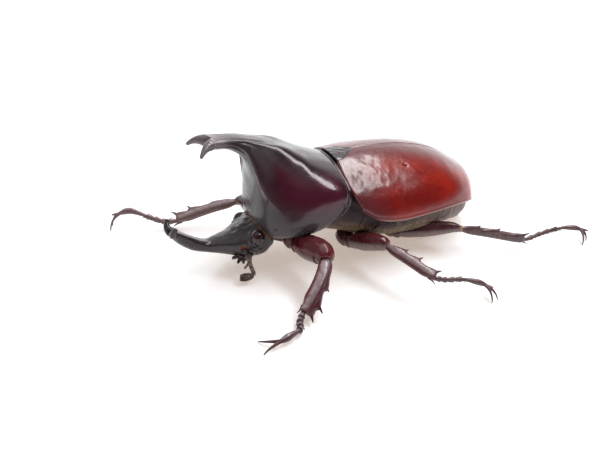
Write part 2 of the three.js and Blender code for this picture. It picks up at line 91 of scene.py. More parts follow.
def hill(value, middle, width):  # a round hump of height 1
    return np.exp(-((value - middle) / width) ** 2)


def wrapped(angle):  # an angle brought to -pi..pi
    return (angle + pi) % (2 * pi) - pi


def through(rows, t):
    # values at t on a smooth line through rows of (t, values...): cubic pieces with averaged slopes
    rows = np.asarray(rows, float)
    knots, values = rows[:, 0], rows[:, 1:]
    before = np.maximum(np.arange(len(knots)) - 1, 0)
    after = np.minimum(np.arange(len(knots)) + 1, len(knots) - 1)
    slopes = (values[after] - values[before]) / (knots[after] - knots[before])[:, None]
    t = np.asarray(t, float)
    low = np.clip(np.searchsorted(knots, t, side="right") - 1, 0, len(knots) - 2)
    span = (knots[low + 1] - knots[low])[..., None]
    part = (t[..., None] - knots[low][..., None]) / span
    rise = part * part * (3 - 2 * part)
    leave = span * slopes[low] * part * (1 - part) ** 2
    arrive = span * slopes[low + 1] * part * part * (part - 1)
    return values[low] + (values[low + 1] - values[low]) * rise + leave + arrive


def noiseOver(points, cell, seed):
    # soft lumps from -1 to 1: a few crossed sine waves of random heading, each about one cell long
    draw = np.random.default_rng(seed)
    total = np.zeros(points.shape[:-1])
    for wave in range(14):
        heading = unit(draw.normal(size=3)) * 2 * pi / (cell * draw.uniform(0.7, 1.6))
        total = total + np.sin(points @ heading + draw.uniform(0, 2 * pi))
    return total / 4


# shells are (points, list of face arrays)
def outward(points, faces):
    # turns all the faces round if the enclosed volume comes out negative
    total = 0
    for block in faces:
        for n in range(1, block.shape[1] - 1):
            a, b, c = points[block[:, 0]], points[block[:, n]], points[block[:, n + 1]]
            total += np.einsum("ij,ij->", a, np.cross(b, c))
    return points, [block[:, ::-1] if total < 0 else block for block in faces]


def gridQuads(rows, columns, wrap):
    # four corners for each cell of a grid of points; wrap joins the last column to the first
    i = np.arange(rows - 1)[:, None] * columns
    j = np.arange(columns if wrap else columns - 1)[None]
    a, b = i + j, i + (j + 1) % columns
    return np.stack([a, b, b + columns, a + columns], -1).reshape(-1, 4)


def fan(ring, middle):  # triangles from each side of a ring to one middle point
    return np.stack([np.roll(ring, -1), ring, np.full(len(ring), middle)], -1)


def tubeParts(grid, first=True, last=True):
    # a grid of rings; an end that is closed gets a fan to the middle of its ring
    rows, columns = grid.shape[:2]
    points, faces = [grid.reshape(-1, 3)], [gridQuads(rows, columns, True)]
    ring = np.arange(columns)
    if first:
        points.append(grid[0].mean(0))
        faces.append(fan(ring, rows * columns))
    if last:
        points.append(grid[-1].mean(0))
        faces.append(fan(ring[::-1] + (rows - 1) * columns, rows * columns + first))
    return np.vstack(points), faces


def tubeShell(grid):
    return outward(*tubeParts(grid))


def plateShell(outer, inner):
    # two grids, face to face, joined round their edges
    rows, columns = outer.shape[:2]
    count = rows * columns
    quads = gridQuads(rows, columns, False)
    index = np.arange(count).reshape(rows, columns)
    edge = np.concatenate([index[0], index[1:, -1], index[-1, -2::-1], index[-2:0:-1, 0]])
    after = np.roll(edge, -1)
    rim = np.stack([after, edge, edge + count, after + count], -1)
    points = np.vstack([outer.reshape(-1, 3), inner.reshape(-1, 3)])
    return outward(points, [quads, quads[:, ::-1] + count, rim])


def together(*shells):
    # shells listed one after another, their corner numbers moved on to match
    points, faces, start = [], [], 0
    for spots, blocks in shells:
        points.append(spots)
        faces += [block + start for block in blocks]
        start += len(spots)
    return np.vstack(points), faces


def welded(points, faces):
    # corners at the same place become one
    keys, first, owner = np.unique(np.round(points, 5), axis=0, return_index=True, return_inverse=True)
    return points[first], [owner.reshape(-1)[block] for block in faces]


def placed(name, data):  # an object at the origin, in the scene
    piece = bpy.data.objects.new(name, data)
    bpy.context.scene.collection.objects.link(piece)
    return piece


def surfaceNormals(grid, wrap=True):
    # the cross product of the grid's two directions, pointed away from the middle of each ring, or upwards
    if wrap:
        around = np.roll(grid, -1, 1) - np.roll(grid, 1, 1)
    else:
        around = np.gradient(grid, axis=1)
    normals = unit(np.cross(around, np.gradient(grid, axis=0)))
    away = grid - grid.mean(1, keepdims=True) if wrap else [0, 0, 1]
    return normals * np.sign((normals * away).sum(-1).mean())


def raised(grid, height, wrap=True):  # every point moved out along its normal by a height
    return grid + surfaceNormals(grid, wrap) * height[..., None]


def fused(shell, cell, rounds=3):
    # overlapping shells made one skin on a fine cell grid, then eased: points move towards the middle of their
    # neighbours and, every second time, a little further back, so that nothing shrinks
    points, faces = shell
    mesh = bpy.data.meshes.new("fusing")
    mesh.from_pydata(points.tolist(), [], [face for block in faces for face in block.tolist()])
    piece = placed("fusing", mesh)
    skin = piece.modifiers.new("skin", "REMESH")
    skin.mode = "VOXEL"
    skin.voxel_size = cell
    evaluated = piece.evaluated_get(bpy.context.evaluated_depsgraph_get())
    result = evaluated.to_mesh()
    spots = np.empty(len(result.vertices) * 3)
    result.vertices.foreach_get("co", spots)
    corners = np.empty(len(result.polygons) * 4, int)
    result.loops.foreach_get("vertex_index", corners)
    edges = np.empty(len(result.edges) * 2, int)
    result.edges.foreach_get("vertices", edges)
    evaluated.to_mesh_clear()
    bpy.data.objects.remove(piece)
    bpy.data.meshes.remove(mesh)
    spots, corners, edges = spots.reshape(-1, 3), corners.reshape(-1, 4), edges.reshape(-1, 2)
    count = np.bincount(edges.ravel(), minlength=len(spots))[:, None]
    for step in range(rounds * 2):
        total = np.zeros_like(spots)
        for a, b in ((0, 1), (1, 0)):
            for axis in range(3):
                total[:, axis] += np.bincount(edges[:, a], spots[edges[:, b], axis], len(spots))
        strength = 0.5 if step % 2 == 0 else -0.52
        spots = spots + (total / count - spots) * strength
    return outward(spots, [corners])


def addPiece(name, shell, nodes, slot, finish, place=fromBody, patches=None, **tones):
    # the shell as a mesh in metres; tones are numbers or arrays kept on its points for the finish to read
    points, faces = shell
    mesh = bpy.data.meshes.new(name)
    mesh.from_pydata((place(points) * mm).tolist(), [], [face for block in faces for face in block.tolist()])
    mesh.shade_smooth()
    mesh.set_sharp_from_angle(angle=math.radians(50))
    for key, values in tones.items():
        values = np.zeros(len(points)) + values
        mesh.attributes.new(key, "FLOAT", "POINT").data.foreach_set("value", values)
    if patches is not None:
        corners = np.empty(len(mesh.loops), int)
        mesh.loops.foreach_get("vertex_index", corners)
        mesh.uv_layers.new(name="OFBake").data.foreach_set("uv", patches[corners].ravel())
    mesh.materials.append(finishes[finish])
    piece = placed(name, mesh)
    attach(piece, "root")
    if nodes:
        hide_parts(*nodes)


def sweepGrid(path, wide, half, around, along, start=0.0, end=1.0):
    # an oval carried along a path: breadth towards `wide`, depth square to it and to the path
    t = np.linspace(start, end, along)
    turn = turns(around)
    line = path(t)
    ahead = unit(np.gradient(line, axis=0))
    wide = np.asarray(wide, float)
    side = unit(wide - ahead * (ahead @ wide)[:, None])
    deep = np.cross(ahead, side)
    breadth, depth = half(t[:, None], turn[None])
    breadth = np.broadcast_to(breadth, (along, around))[..., None]
    depth = np.broadcast_to(depth, (along, around))[..., None]
    across = side[:, None] * breadth * np.cos(turn)[None, :, None]
    return line[:, None] + across + deep[:, None] * depth * np.sin(turn)[None, :, None]


def bent(a, b, c):  # a curve from a to c that leans towards b, with weights (1-t)^2, 2t(1-t) and t^2
    a, b, c = (np.asarray(p, float) for p in (a, b, c))

    def path(t):
        t = np.asarray(t)[..., None]
        return (1 - t) ** 2 * a + 2 * (1 - t) * t * b + t * t * c
    return path


def threaded(points):  # a smooth curve through points, spaced by their distances
    points = np.asarray(points, float)
    steps = np.sqrt(np.linalg.norm(np.diff(points, axis=0), axis=1))
    knots = np.concatenate([[0], np.cumsum(steps)]) / steps.sum()
    rows = np.column_stack([knots, points])
    return lambda t: through(rows, np.asarray(t, float))


def roundEnd(t, share):  # 1 along the length, then a quarter circle down to 0 at the end
    late = np.clip((t - (1 - share)) / share, 0, 1)
    return np.sqrt(np.maximum(1 - late ** 2, 0))


def spikeShell(root, bend, tip, radius, tipRadius, around, along, taper=0.8):
    # a curved spine whose radius falls with t^taper to a rounded point; a small taper gives a fine tip
    def half(t, turn):
        size = lerp(radius, tipRadius, t ** taper) * roundEnd(t, 0.12)
        return size, size
    return tubeShell(sweepGrid(bent(root, bend, tip), (0.31, 0.52, 0.79), half, around, along))


def ballShell(middle, radii, around, along):
    # an egg shape from its angles down from the top and round
    down = np.linspace(0, pi, along)[:, None]
    turn = turns(around)[None]
    ball = np.stack([np.sin(down) * np.cos(turn), np.sin(down) * np.sin(turn), np.cos(down) + 0 * turn], -1)
    return tubeShell(np.asarray(middle, float) + ball[1:-1] * np.asarray(radii, float))


class Wire:
    # a socket that can be added, multiplied and so on; each operator adds one Math node
    def __init__(self, finish, socket):
        self.finish, self.socket = finish, socket

    def maths(self, operation, *values):
        return self.finish.node("Math", {"operation": operation}, dict(enumerate(values)))

    def __add__(self, other):
        return self.maths("ADD", self, other)

    def __sub__(self, other):
        return self.maths("SUBTRACT", self, other)

    def __rsub__(self, other):
        return self.maths("SUBTRACT", other, self)

    def __mul__(self, other):
        return self.maths("MULTIPLY", self, other)

    __radd__ = __add__
    __rmul__ = __mul__


class Finish:
    # a material; node() adds any node, with its settings first and then what goes into its sockets
    def __init__(self, name, sockets):
        self.material = bpy.data.materials.new(name)
        self.material.use_nodes = True
        self.tree = self.material.node_tree
        self.shader = self.tree.nodes["Principled BSDF"]
        self.fill(self.shader, sockets)
        self.place = self.node("TexCoord", output="Object")

    def fill(self, node, sockets):
        for key, value in sockets.items():
            if isinstance(value, Wire):
                self.tree.links.new(value.socket, node.inputs[key])
            else:
                node.inputs[key].default_value = value

    def node(self, kind, settings=None, sockets=None, output=0):
        node = self.tree.nodes.new("ShaderNode" + kind)
        for key, value in (settings or {}).items():
            setattr(node, key, value)
        self.fill(node, sockets or {})
        return Wire(self, node.outputs[output])

    def noise(self, size, detail=2.0, roughness=0.5, place=None):  # size of one lump in millimetres
        return self.node("TexNoise", {}, {"Vector": place or self.place, "Scale": 1 / (size * mm),
                                          "Detail": detail, "Roughness": roughness})

    def stretched(self, x, y, z):  # the place, drawn out along an axis whose factor is small
        return self.node("Mapping", {}, {"Vector": self.place, "Scale": (x, y, z)})

    def cells(self, size):  # how far each place is from the middle of its cell
        return self.node("TexVoronoi", {}, {"Vector": self.place, "Scale": 1 / (size * mm)}, "Distance")

    def value(self, name):  # a number kept on the piece's own points
        return self.node("Attribute", {"attribute_name": name}, output="Fac")

    def step(self, value, low, high, start=0.0, end=1.0):  # start below low, end above high, an s-curve between
        sockets = {"Value": value, "From Min": low, "From Max": high, "To Min": start, "To Max": end}
        return self.node("MapRange", {"interpolation_type": "SMOOTHSTEP"}, sockets)

    def mixed(self, factor, first, second):  # the first colour at 0, the second at 1
        first = first if isinstance(first, Wire) else (*first, 1)
        second = second if isinstance(second, Wire) else (*second, 1)
        return self.node("Mix", {"data_type": "RGBA"}, {0: factor, 6: first, 7: second}, 2)

    def done(self, colour, roughness, height, depth):  # depth of the relief in millimetres
        normal = self.node("Bump", {}, {"Height": height, "Distance": depth * mm, "Strength": 1.0})
        self.fill(self.shader, {"Base Color": colour, "Roughness": roughness, "Normal": normal})
        return self.material


# sizes of patterns and the relief are in millimetres
darkLook = {
    "black": (0.0135, 0.0065, 0.0095), "maroon": (0.062, 0.0075, 0.0190), "grey": (0.045, 0.040, 0.043),
    "worn": (0.17, 0.135, 0.145), "rough": (0.15, 0.26), "greyRough": 0.1, "coat": 0.30, "greyCoat": 0.06,
    "patch": 5.0, "haze": 0.9, "grain": 0.16, "waves": 1.3, "pores": 0.3, "relief": 0.005,
}


def darkShell():
    # black to maroon by the piece's warmth, greyer and duller where it is grey, lighter with a painted
    # highlight
    f = Finish("darkShell", {"Coat Roughness": 0.08, "Specular IOR Level": 0.4,
                             "Specular Tint": (1.0, 0.90, 0.95, 1)})
    grey, patch = f.value("grey"), f.noise(darkLook["patch"], 3.0)
    warmth = f.value("warmth") * f.step(patch, 0.3, 0.7, 0.6, 1.0)
    colour = f.mixed(warmth, darkLook["black"], darkLook["maroon"])
    colour = f.mixed(grey, colour, darkLook["grey"])
    # a painted highlight: a light pinkish grey laid on the horn's tips and the shield's front flank
    colour = f.mixed(f.value("worn") * f.step(patch, 0.3, 0.6, 0.5, 1.0), colour, darkLook["worn"])
    f.fill(f.shader, {"Coat Weight": darkLook["coat"] - grey * (darkLook["coat"] - darkLook["greyCoat"])})
    rough = f.step(f.noise(darkLook["haze"], 4.0, 0.65), 0.35, 0.7, *darkLook["rough"])
    height = f.noise(darkLook["waves"]) * 4.0 + f.noise(darkLook["grain"], 3.0, 0.6) * 0.6
    height = height + f.step(f.cells(darkLook["pores"]), 0.0, 0.28)
    return f.done(colour, rough + grey * darkLook["greyRough"], height, darkLook["relief"])


# hem: a whitish colour painted along the margin's bead as a highlight
redLook = {
    "red": (0.260, 0.0130, 0.0060), "brown": (0.110, 0.0180, 0.0220), "deep": (0.160, 0.0060, 0.0050),
    "hem": (0.30, 0.21, 0.20), "rough": (0.13, 0.27), "wrinkleRough": 0.12, "coat": 0.25,
    "clouds": 3.2, "pores": 0.42, "wrinkle": 0.7, "haze": 0.7, "waves": 1.6, "relief": 0.008,
}


def redShell():
    # brown to red by the piece's ruddiness, in long clouds; brown again in the middle of each pore
    f = Finish("redShell", {"Coat Weight": redLook["coat"], "Coat Roughness": 0.1, "Specular IOR Level": 0.42})
    clouds = f.noise(redLook["clouds"], 4.0, 0.6, f.stretched(0.5, 1.0, 1.0))
    red = f.mixed(f.step(clouds, 0.3, 0.72), redLook["deep"], redLook["red"])
    colour = f.mixed(f.value("ruddy") + (clouds - 0.5) * 0.25, redLook["brown"], red)
    pores, wrinkled = f.step(f.cells(redLook["pores"]), 0.02, 0.2), f.value("wrinkled")
    # the hem colour is a painted highlight: a whitish line along the margin's bead
    colour = f.mixed(f.value("hem"), f.mixed(pores * 0.7 + 0.3, redLook["brown"], colour), redLook["hem"])
    wrinkle = f.noise(redLook["wrinkle"], 3.0, 0.6, f.stretched(0.6, 1.3, 1.0))
    height = f.noise(redLook["waves"]) * 3.0 + wrinkle * wrinkled * 3.5 + pores * 0.8
    rough = f.step(f.noise(redLook["haze"], 4.0, 0.65), 0.3, 0.7, *redLook["rough"])
    return f.done(colour, rough + wrinkled * redLook["wrinkleRough"], height, redLook["relief"])


# legs: the whitish sheen colour is a painted highlight, laid on faces that look up
legLook = {
    "dark": (0.030, 0.0130, 0.0150), "plum": (0.085, 0.038, 0.044), "red": (0.090, 0.0030, 0.0070),
    "pale": (0.40, 0.31, 0.34), "dusty": (0.19, 0.120, 0.112), "rough": (0.19, 0.34), "coat": 0.2,
    "clouds": 1.8, "sheenStreaks": 0.5, "grain": 0.12, "pores": 0.34, "haze": 0.5, "waves": 0.7, "relief": 0.007,
}


def legShell():
    # dark to plum in clouds, with dust and red where the piece has them, and a painted sheen on faces that look
    # up
    f = Finish("legShell", {"Coat Weight": legLook["coat"], "Coat Roughness": 0.15, "Specular IOR Level": 0.35})
    clouds = f.noise(legLook["clouds"], 3.0, 0.6)
    colour = f.mixed(f.step(clouds, 0.3, 0.7), legLook["dark"], legLook["plum"])
    colour = f.mixed(f.value("dusty") * f.step(clouds, 0.2, 0.6, 0.6, 1.0), colour, legLook["dusty"])
    colour = f.mixed(f.value("ruddy"), colour, legLook["red"])
    # painted sheen: a whitish colour on faces whose normal points up, where the overhead light would shine
    facing = f.node("SeparateXYZ", {}, {0: f.node("NewGeometry", output="Normal")}, "Z")
    sheenStreaks = f.step(f.noise(legLook["sheenStreaks"], 3.0, 0.6, f.stretched(0.5, 0.5, 1.0)), 0.25, 0.75, 0.35, 1.0)
    colour = f.mixed(f.step(facing, 0.45, 0.95) * f.value("pale") * sheenStreaks, colour, legLook["pale"])
    rough = f.step(f.noise(legLook["haze"], 3.0, 0.6), 0.3, 0.7, *legLook["rough"])
    height = f.noise(legLook["grain"], 3.0, 0.6) * 0.8 + f.step(f.cells(legLook["pores"]), 0.0, 0.25) * 1.6
    return f.done(colour, rough, height + f.noise(legLook["waves"]) * 2.0, legLook["relief"])


underLook = {
    "brown": (0.090, 0.050, 0.032), "dark": (0.030, 0.013, 0.011), "tan": (0.26, 0.17, 0.090),
    "shade": (0.022, 0.0040, 0.0070), "rosy": (0.23, 0.155, 0.145), "rough": (0.34, 0.52),
    "clouds": 1.5, "down": 0.6, "grain": 0.14, "waves": 0.8, "relief": 0.012,
}


def underside():
    # dark to brown in clouds, then tan down, a rosy tail end and painted shade under the wing cases' overhang
    f = Finish("underside", {"Coat Weight": 0.05, "Coat Roughness": 0.3, "Specular IOR Level": 0.25})
    clouds = f.noise(underLook["clouds"], 4.0, 0.65)
    colour = f.mixed(f.step(clouds, 0.35, 0.7), underLook["dark"], underLook["brown"])
    down = f.step(f.noise(underLook["down"], 4.0, 0.7), 0.35, 0.65)
    colour = f.mixed(f.value("downy") * down, colour, underLook["tan"])
    colour = f.mixed(f.value("rosy") * f.step(clouds, 0.25, 0.6, 0.6, 1.0), colour, underLook["rosy"])
    # painted shade: near-black colour where the wing cases and shield overhang the trunk
    colour = f.mixed(f.value("gloom"), colour, underLook["shade"])
    height = f.noise(underLook["grain"], 3.0, 0.6) * 1.5 + f.noise(underLook["waves"]) * 3.0
    return f.done(colour, f.step(clouds, 0.3, 0.7, *underLook["rough"]), height, underLook["relief"])


eyeLook = {"dark": (0.022, 0.0060, 0.0100), "wine": (0.055, 0.0130, 0.0210), "facets": 0.055, "relief": 0.004}


def eyeShell():
    # tiny cells, each a low dome that is smoother at its edge
    f = Finish("eyeShell", {"Coat Weight": 0.35, "Coat Roughness": 0.08, "Specular IOR Level": 0.35})
    facets = f.cells(eyeLook["facets"])
    colour = f.mixed(f.step(f.noise(0.8), 0.35, 0.65), eyeLook["dark"], eyeLook["wine"])
    return f.done(colour, f.step(facets, 0.0, 0.6, 0.16, 0.1), 1 - facets, eyeLook["relief"])


def plainFinish(name, dark, light, size, rough, relief, coat=0.0):
    # two tones in soft clouds over a fine grain
    f = Finish(name, {"Coat Weight": coat})
    clouds = f.noise(size, 3.0, 0.6)
    colour = f.mixed(f.step(clouds, 0.3, 0.7), dark, light)
    return f.done(colour, f.step(clouds, 0.3, 0.7, rough, rough + 0.1), f.noise(size * 0.2, 3.0), relief)


# the plain ones: dark and light tone, size of the clouds, roughness, relief and coat
finishes = {
    "dark": darkShell(),
    "red": redShell(),
    "leg": legShell(),
    "under": underside(),
    "eye": eyeShell(),
    "membrane": plainFinish("kneeMembrane", (0.22, 0.14, 0.07), (0.45, 0.34, 0.20), 0.4, 0.4, 0.01),
    "feeler": plainFinish("feelerShell", (0.055, 0.035, 0.033), (0.19, 0.115, 0.105), 0.5, 0.24, 0.006, 0.3),
    "beigeHair": plainFinish("beigeBristle", (0.15, 0.100, 0.060), (0.38, 0.29, 0.18), 0.7, 0.4, 0.002),
    "amberHair": plainFinish("amberBristle", (0.30, 0.090, 0.020), (0.60, 0.27, 0.08), 0.8, 0.4, 0.002),
    "orangeHair": plainFinish("orangeBristle", (0.40, 0.060, 0.008), (0.75, 0.16, 0.020), 0.5, 0.4, 0.002),
}
print("finishes mixed")


def sectionPoint(rows, turn):
    # rows: X and Z of the top, side and under lines, half width, squareness above and below;
    # from the side line towards the top or the under line by |sin| to 2/power; breadth by |cos| to 2/power
    topX, topZ, sideX, sideZ, lowX, lowZ, half, squareAbove, squareBelow = np.moveaxis(rows, -1, 0)
    rise, out = np.sin(turn), np.cos(turn)
    above = rise > 0
    power = 2 / np.where(above, squareAbove, squareBelow)
    reach = np.abs(rise) ** power
    x = lerp(sideX, np.where(above, topX, lowX), reach)
    z = lerp(sideZ, np.where(above, topZ, lowZ), reach)
    return np.stack([x, half * np.sign(out) * np.abs(out) ** power, z], -1)


def lengthGrid(stations, s, around):  # one section for each place s along the length
    return sectionPoint(through(stations, s)[:, None], turns(around)[None])


def bodyAndHorn(sizes):
    # finely up to the horn's root, then more coarsely to its end; gives the places, the angles and the grid
    s = np.concatenate([np.linspace(0, sizes["hornRoot"], sizes["rows"]),
                        np.linspace(sizes["hornRoot"], 1, sizes["hornRows"])[1:]])
    return s, turns(sizes["around"])[None], lengthGrid(sizes["stations"], s, sizes["around"])


def forkedShell(shaft, fork, rows=44):
    # the last ring of the shaft is parted down its middle; each half runs into its own tine,
    # changing from the half ring to an oval as it goes
    count, ring = shaft.shape[1], shaft[-1]
    quarter = count // 4
    ahead = unit(ring.mean(0) - shaft[-6].mean(0))
    part = np.linspace(0, 1, count // 2 + 1)[1:-1, None]
    seam = lerp(ring[quarter], ring[3 * quarter], part) + ahead * (fork["saddle"] * np.sin(pi * part))
    shells = [tubeParts(shaft, last=False)]
    t = np.linspace(0, 1, rows)
    size = (lerp(fork["radius"], fork["tipRadius"], t ** 0.9) * roundEnd(t, 0.05))[:, None, None]
    for name, side in sides:
        first = -quarter * side
        root = np.vstack([ring[np.arange(first, first + 2 * quarter + 1) % count], seam[::side]])
        angle = (first * 2 * pi / count + turns(count))[None, :, None]
        start = root.mean(0)
        line = bent(start, fork["bend"] * mirrored(side), fork["tip"] * mirrored(side))(t)
        along = unit(np.gradient(line, axis=0))
        out = unit([0, 1, 0] - along * along[:, 1:2])
        up = np.cross(along, out)
        up = up * np.sign(up[:, 2:3])
        oval = line[:, None] + size * (out[:, None] * np.cos(angle) + up[:, None] * np.sin(angle))
        carried = root[None] + (line - start)[:, None]
        shells.append(tubeParts(lerp(carried, oval, smooth(t, 0, fork["blend"])[:, None, None]), first=False))
    return outward(*welded(*together(*shells)))


def clearance(points, grid, normals):
    # how far points stand outside a grid surface, by the plane of its nearest point
    flat, square = points.reshape(-1, 3), grid.reshape(-1, 3)
    gaps = (square ** 2).sum(1)[None] - 2 * flat @ square.T
    near = gaps.argmin(1)
    return ((flat - square[near]) * normals.reshape(-1, 3)[near]).sum(1).reshape(points.shape[:-1])


# stations: place along the length, then what sectionPoint lists;
# keelLine: place along the length, angle from the top line, height and angular width
pronotum = {
    "stations": [
        [0.00, 0.0, 0.0, -0.3, -5.6, -4.6, -12.2, 9.2, 2.05, 2.6],
        [0.06, -0.8, 0.35, -1.4, -5.6, -5.2, -12.7, 9.85, 2.05, 2.6],
        [0.20, -2.8, 1.1, -4.6, -5.9, -7.9, -12.9, 10.3, 2.0, 2.8],
        [0.38, -5.6, 2.2, -8.6, -6.3, -11.8, -12.8, 10.0, 2.0, 2.8],
        [0.52, -8.2, 3.2, -11.5, -6.2, -14.0, -12.3, 8.6, 2.1, 2.6],
        [0.60, -10.0, 3.85, -13.0, -5.2, -14.9, -10.0, 7.1, 2.35, 2.2],
        [0.67, -11.7, 4.45, -14.1, -3.9, -15.2, -7.2, 5.6, 2.7, 1.9],
        [0.74, -13.5, 5.0, -14.9, -1.9, -15.3, -4.6, 4.2, 3.1, 1.7],
        [0.80, -15.3, 5.4, -15.7, 1.0, -15.5, -1.6, 3.2, 3.2, 1.6],
        [0.86, -17.3, 5.85, -17.0, 3.7, -16.8, 1.7, 2.4, 3.2, 1.5],
        [0.92, -19.6, 6.1, -19.4, 4.9, -19.4, 3.5, 2.1, 3.0, 1.35],
        [1.00, -22.6, 6.2, -22.6, 5.3, -22.6, 3.9, 2.3, 2.8, 1.35],
    ],
    "hornRoot": 0.83, "rows": 190, "hornRows": 60, "around": 288,
    "rimHeight": 0.14, "pit": (-13.0, -7.4, -9.6), "pitDepth": 0.35,
    "keelLine": [[0, 1.38, 1.05, 0.52], [0.12, 1.22, 0.88, 0.50], [0.24, 0.98, 0.62, 0.44],
                 [0.36, 0.74, 0.50, 0.36], [0.48, 0.53, 0.58, 0.30], [0.6, 0.42, 0.62, 0.24],
                 [0.72, 0.46, 0.30, 0.16], [0.84, 0.66, 0.20, 0.13], [0.9, 0.87, 0.20, 0.13],
                 [1, 1.02, 0.20, 0.13]],
    "crestHeight": 0.55, "crestReach": (0.32, 0.16), "uneven": 0.007,
    "hem": [[0.93, -1.2, 0, 0.1], [0.95, -0.2, 0, 0], [0.975, 0.02, 0, 0]],
    "fork": {"bend": (-24.6, 2.3, 5.9), "tip": (-26.0, 3.6, 4.0), "radius": 1.3, "tipRadius": 0.27,
             "saddle": 0.4, "blend": 0.45},
}


def buildPronotum():
    # the sections raised by a keel along each shoulder, a sharp crest beside the front hollow and a rim at the
    # back, with a pit on each side; a hem turns in under the rim, and the horn goes on from the last row
    s, turn, grid = bodyAndHorn(pronotum)
    length = s[:, None]
    lift = np.abs(wrapped(turn - pi / 2))  # angle away from the top line
    keelAngle, keelHeight, keelWidth = through(pronotum["keelLine"], s).T[..., None]
    fromSide = pi / 2 - lift
    reach = np.where(fromSide > 0, *pronotum["crestReach"])
    crest = pronotum["crestHeight"] * (np.exp(-np.sqrt((fromSide / reach) ** 2 + 0.04)) - 0.1)
    crest = np.maximum(crest, 0) * smooth(length, 0.45, 0.66) * (1 - smooth(length, 0.84, 0.93))
    rim = pronotum["rimHeight"] * (hill(length, 0.007, 0.008) - 0.7 * hill(length, 0.03, 0.010))
    height = keelHeight * hill(lift, keelAngle, keelWidth) + crest + rim
    for name, side in sides:
        away = np.linalg.norm(grid - pronotum["pit"] * mirrored(side), axis=-1)
        height = height - pronotum["pitDepth"] * hill(away, 0, 0.38)
    grid = raised(grid, height + pronotum["uneven"] * noiseOver(grid, 2.2, 3))
    rows, lip = pronotum["rows"], grid[0].mean(0)
    hem = np.stack([lerp(lip, grid[0], share) + move for share, *move in pronotum["hem"]])

    def tone(values):  # the first row's values again for the hem, and none at the two end points
        return np.append(np.concatenate([np.repeat(values[:1], len(hem), 0), values[:rows]]), [0, 0])
    warmth = smooth(lift, 0.6, 1.1) * smooth(pi - lift, 0.95, 1.45) * smooth(length, 0.0, 0.16)
    warmth = warmth * (1 - 0.8 * smooth(length, 0.6, 0.84)) + 0.12
    flank = (1 - smooth(lift, 1.2, 1.6)) * smooth(length, 0.62, 0.74) * smooth(lift, 0.1, 0.5)
    lower = smooth(lift, 1.3, 1.95) * (1 - 0.6 * smooth(length, 0.6, 0.8))
    shell = tubeShell(np.concatenate([hem, grid[:rows]]))
    # the shield's front flank gets a faint painted highlight
    addPiece("pronotumShield", shell, ["pronotum"], "dark_shell", "dark",
             warmth=tone(warmth), grey=tone(0.75 * flank + 0.9 * lower), worn=tone(0.14 * flank))
    horn = forkedShell(grid[rows - 1:], pronotum["fork"])
    # a painted highlight, growing towards the fork's tips
    worn = smooth(-horn[0][:, 0], 19.0, 22.5)
    addPiece("thoracicHorn", horn, ["thoracic_horn"], "dark_shell", "dark",
             warmth=0.1, worn=0.9 * worn, grey=0.5 + 0.1 * worn)
    return grid[:rows], surfaceNormals(grid)[:rows]


shieldGrid, shieldNormals = buildPronotum()
print("pronotum and its horn built")

head = {
    "stations": [
        [0.00, -12.2, -9.0, -12.2, -12.1, -12.2, -15.4, 4.8, 2.35, 2.4],
        [0.14, -13.9, -9.5, -13.7, -12.2, -13.6, -16.5, 5.1, 2.15, 2.7],
        [0.28, -16.2, -10.8, -15.9, -12.7, -15.6, -16.9, 4.75, 1.8, 2.5],
        [0.42, -19.0, -12.3, -18.5, -14.0, -18.1, -16.7, 3.3, 1.9, 2.3],
        [0.52, -21.3, -12.95, -20.8, -14.4, -20.5, -16.15, 2.2, 2.4, 2.2],
        [0.62, -23.2, -13.35, -23.0, -14.4, -23.0, -15.65, 1.5, 3.0, 2.1],
        [0.76, -25.3, -12.65, -25.6, -13.7, -26.0, -14.9, 1.3, 3.0, 2.0],
        [0.90, -27.4, -11.55, -28.0, -12.4, -28.8, -13.2, 1.3, 3.0, 2.0],
        [1.00, -28.7, -10.75, -29.5, -11.25, -30.4, -11.6, 1.6, 2.6, 2.0],
    ],
    "hornRoot": 0.6, "rows": 190, "hornRows": 80, "around": 240,
    "eye": (-15.1, 4.2, -12.3), "eyeSize": (1.33, 1.26, 1.47), "ridge": 0.12, "dip": 0.06,
    "cheek": (-15.7, 4.7, -14.6), "cheekHeight": 0.34,
    "brow": (-15.8, -0.8, -10.4), "rugged": 0.045, "seam": 0.07,
    "fork": {"bend": (-30.7, 1.75, -10.9), "tip": (-29.9, 2.3, -9.2), "radius": 1.0, "tipRadius": 0.36,
             "saddle": 0.3, "blend": 0.4},
}


def headRelief(grid, s, turn):
    # a ridge before each eye with a dip before it, the cheek below, a rugged brow and a seam along the lip
    relief = 0.015 * noiseOver(grid, 1.6, 11)
    for name, side in sides:
        fromEye = grid - head["eye"] * mirrored(side)
        away = np.linalg.norm(fromEye, axis=-1)
        before = smooth(-fromEye[..., 0] - 0.5 * np.abs(fromEye[..., 2]), 0.1, 0.9)
        relief = relief + (head["ridge"] * hill(away, 1.66, 0.14) - head["dip"] * hill(away, 2.1, 0.2)) * before
        cheek = np.linalg.norm((grid - head["cheek"] * mirrored(side)) * [0.8, 1, 1.1], axis=-1)
        relief = relief + head["cheekHeight"] * hill(cheek, 0, 1.1)
        relief = relief + 0.10 * noiseOver(grid, 0.5, 14) * hill(cheek, 0, 1.4)
    lift = np.abs(wrapped(turn - pi / 2))
    brow = hill(lift, 0, 0.7) * smooth(s, 0.06, 0.16) * (1 - smooth(s, 0.34, 0.5))
    relief = relief + brow * head["rugged"] * (1.6 * noiseOver(grid, 1.5, 12) + 0.5 * noiseOver(grid, 0.5, 13))
    lip = hill(lift, 2.35, 0.07) * smooth(s, 0.2, 0.3) * (1 - smooth(s, 0.46, 0.6))
    return relief - head["seam"] * lip


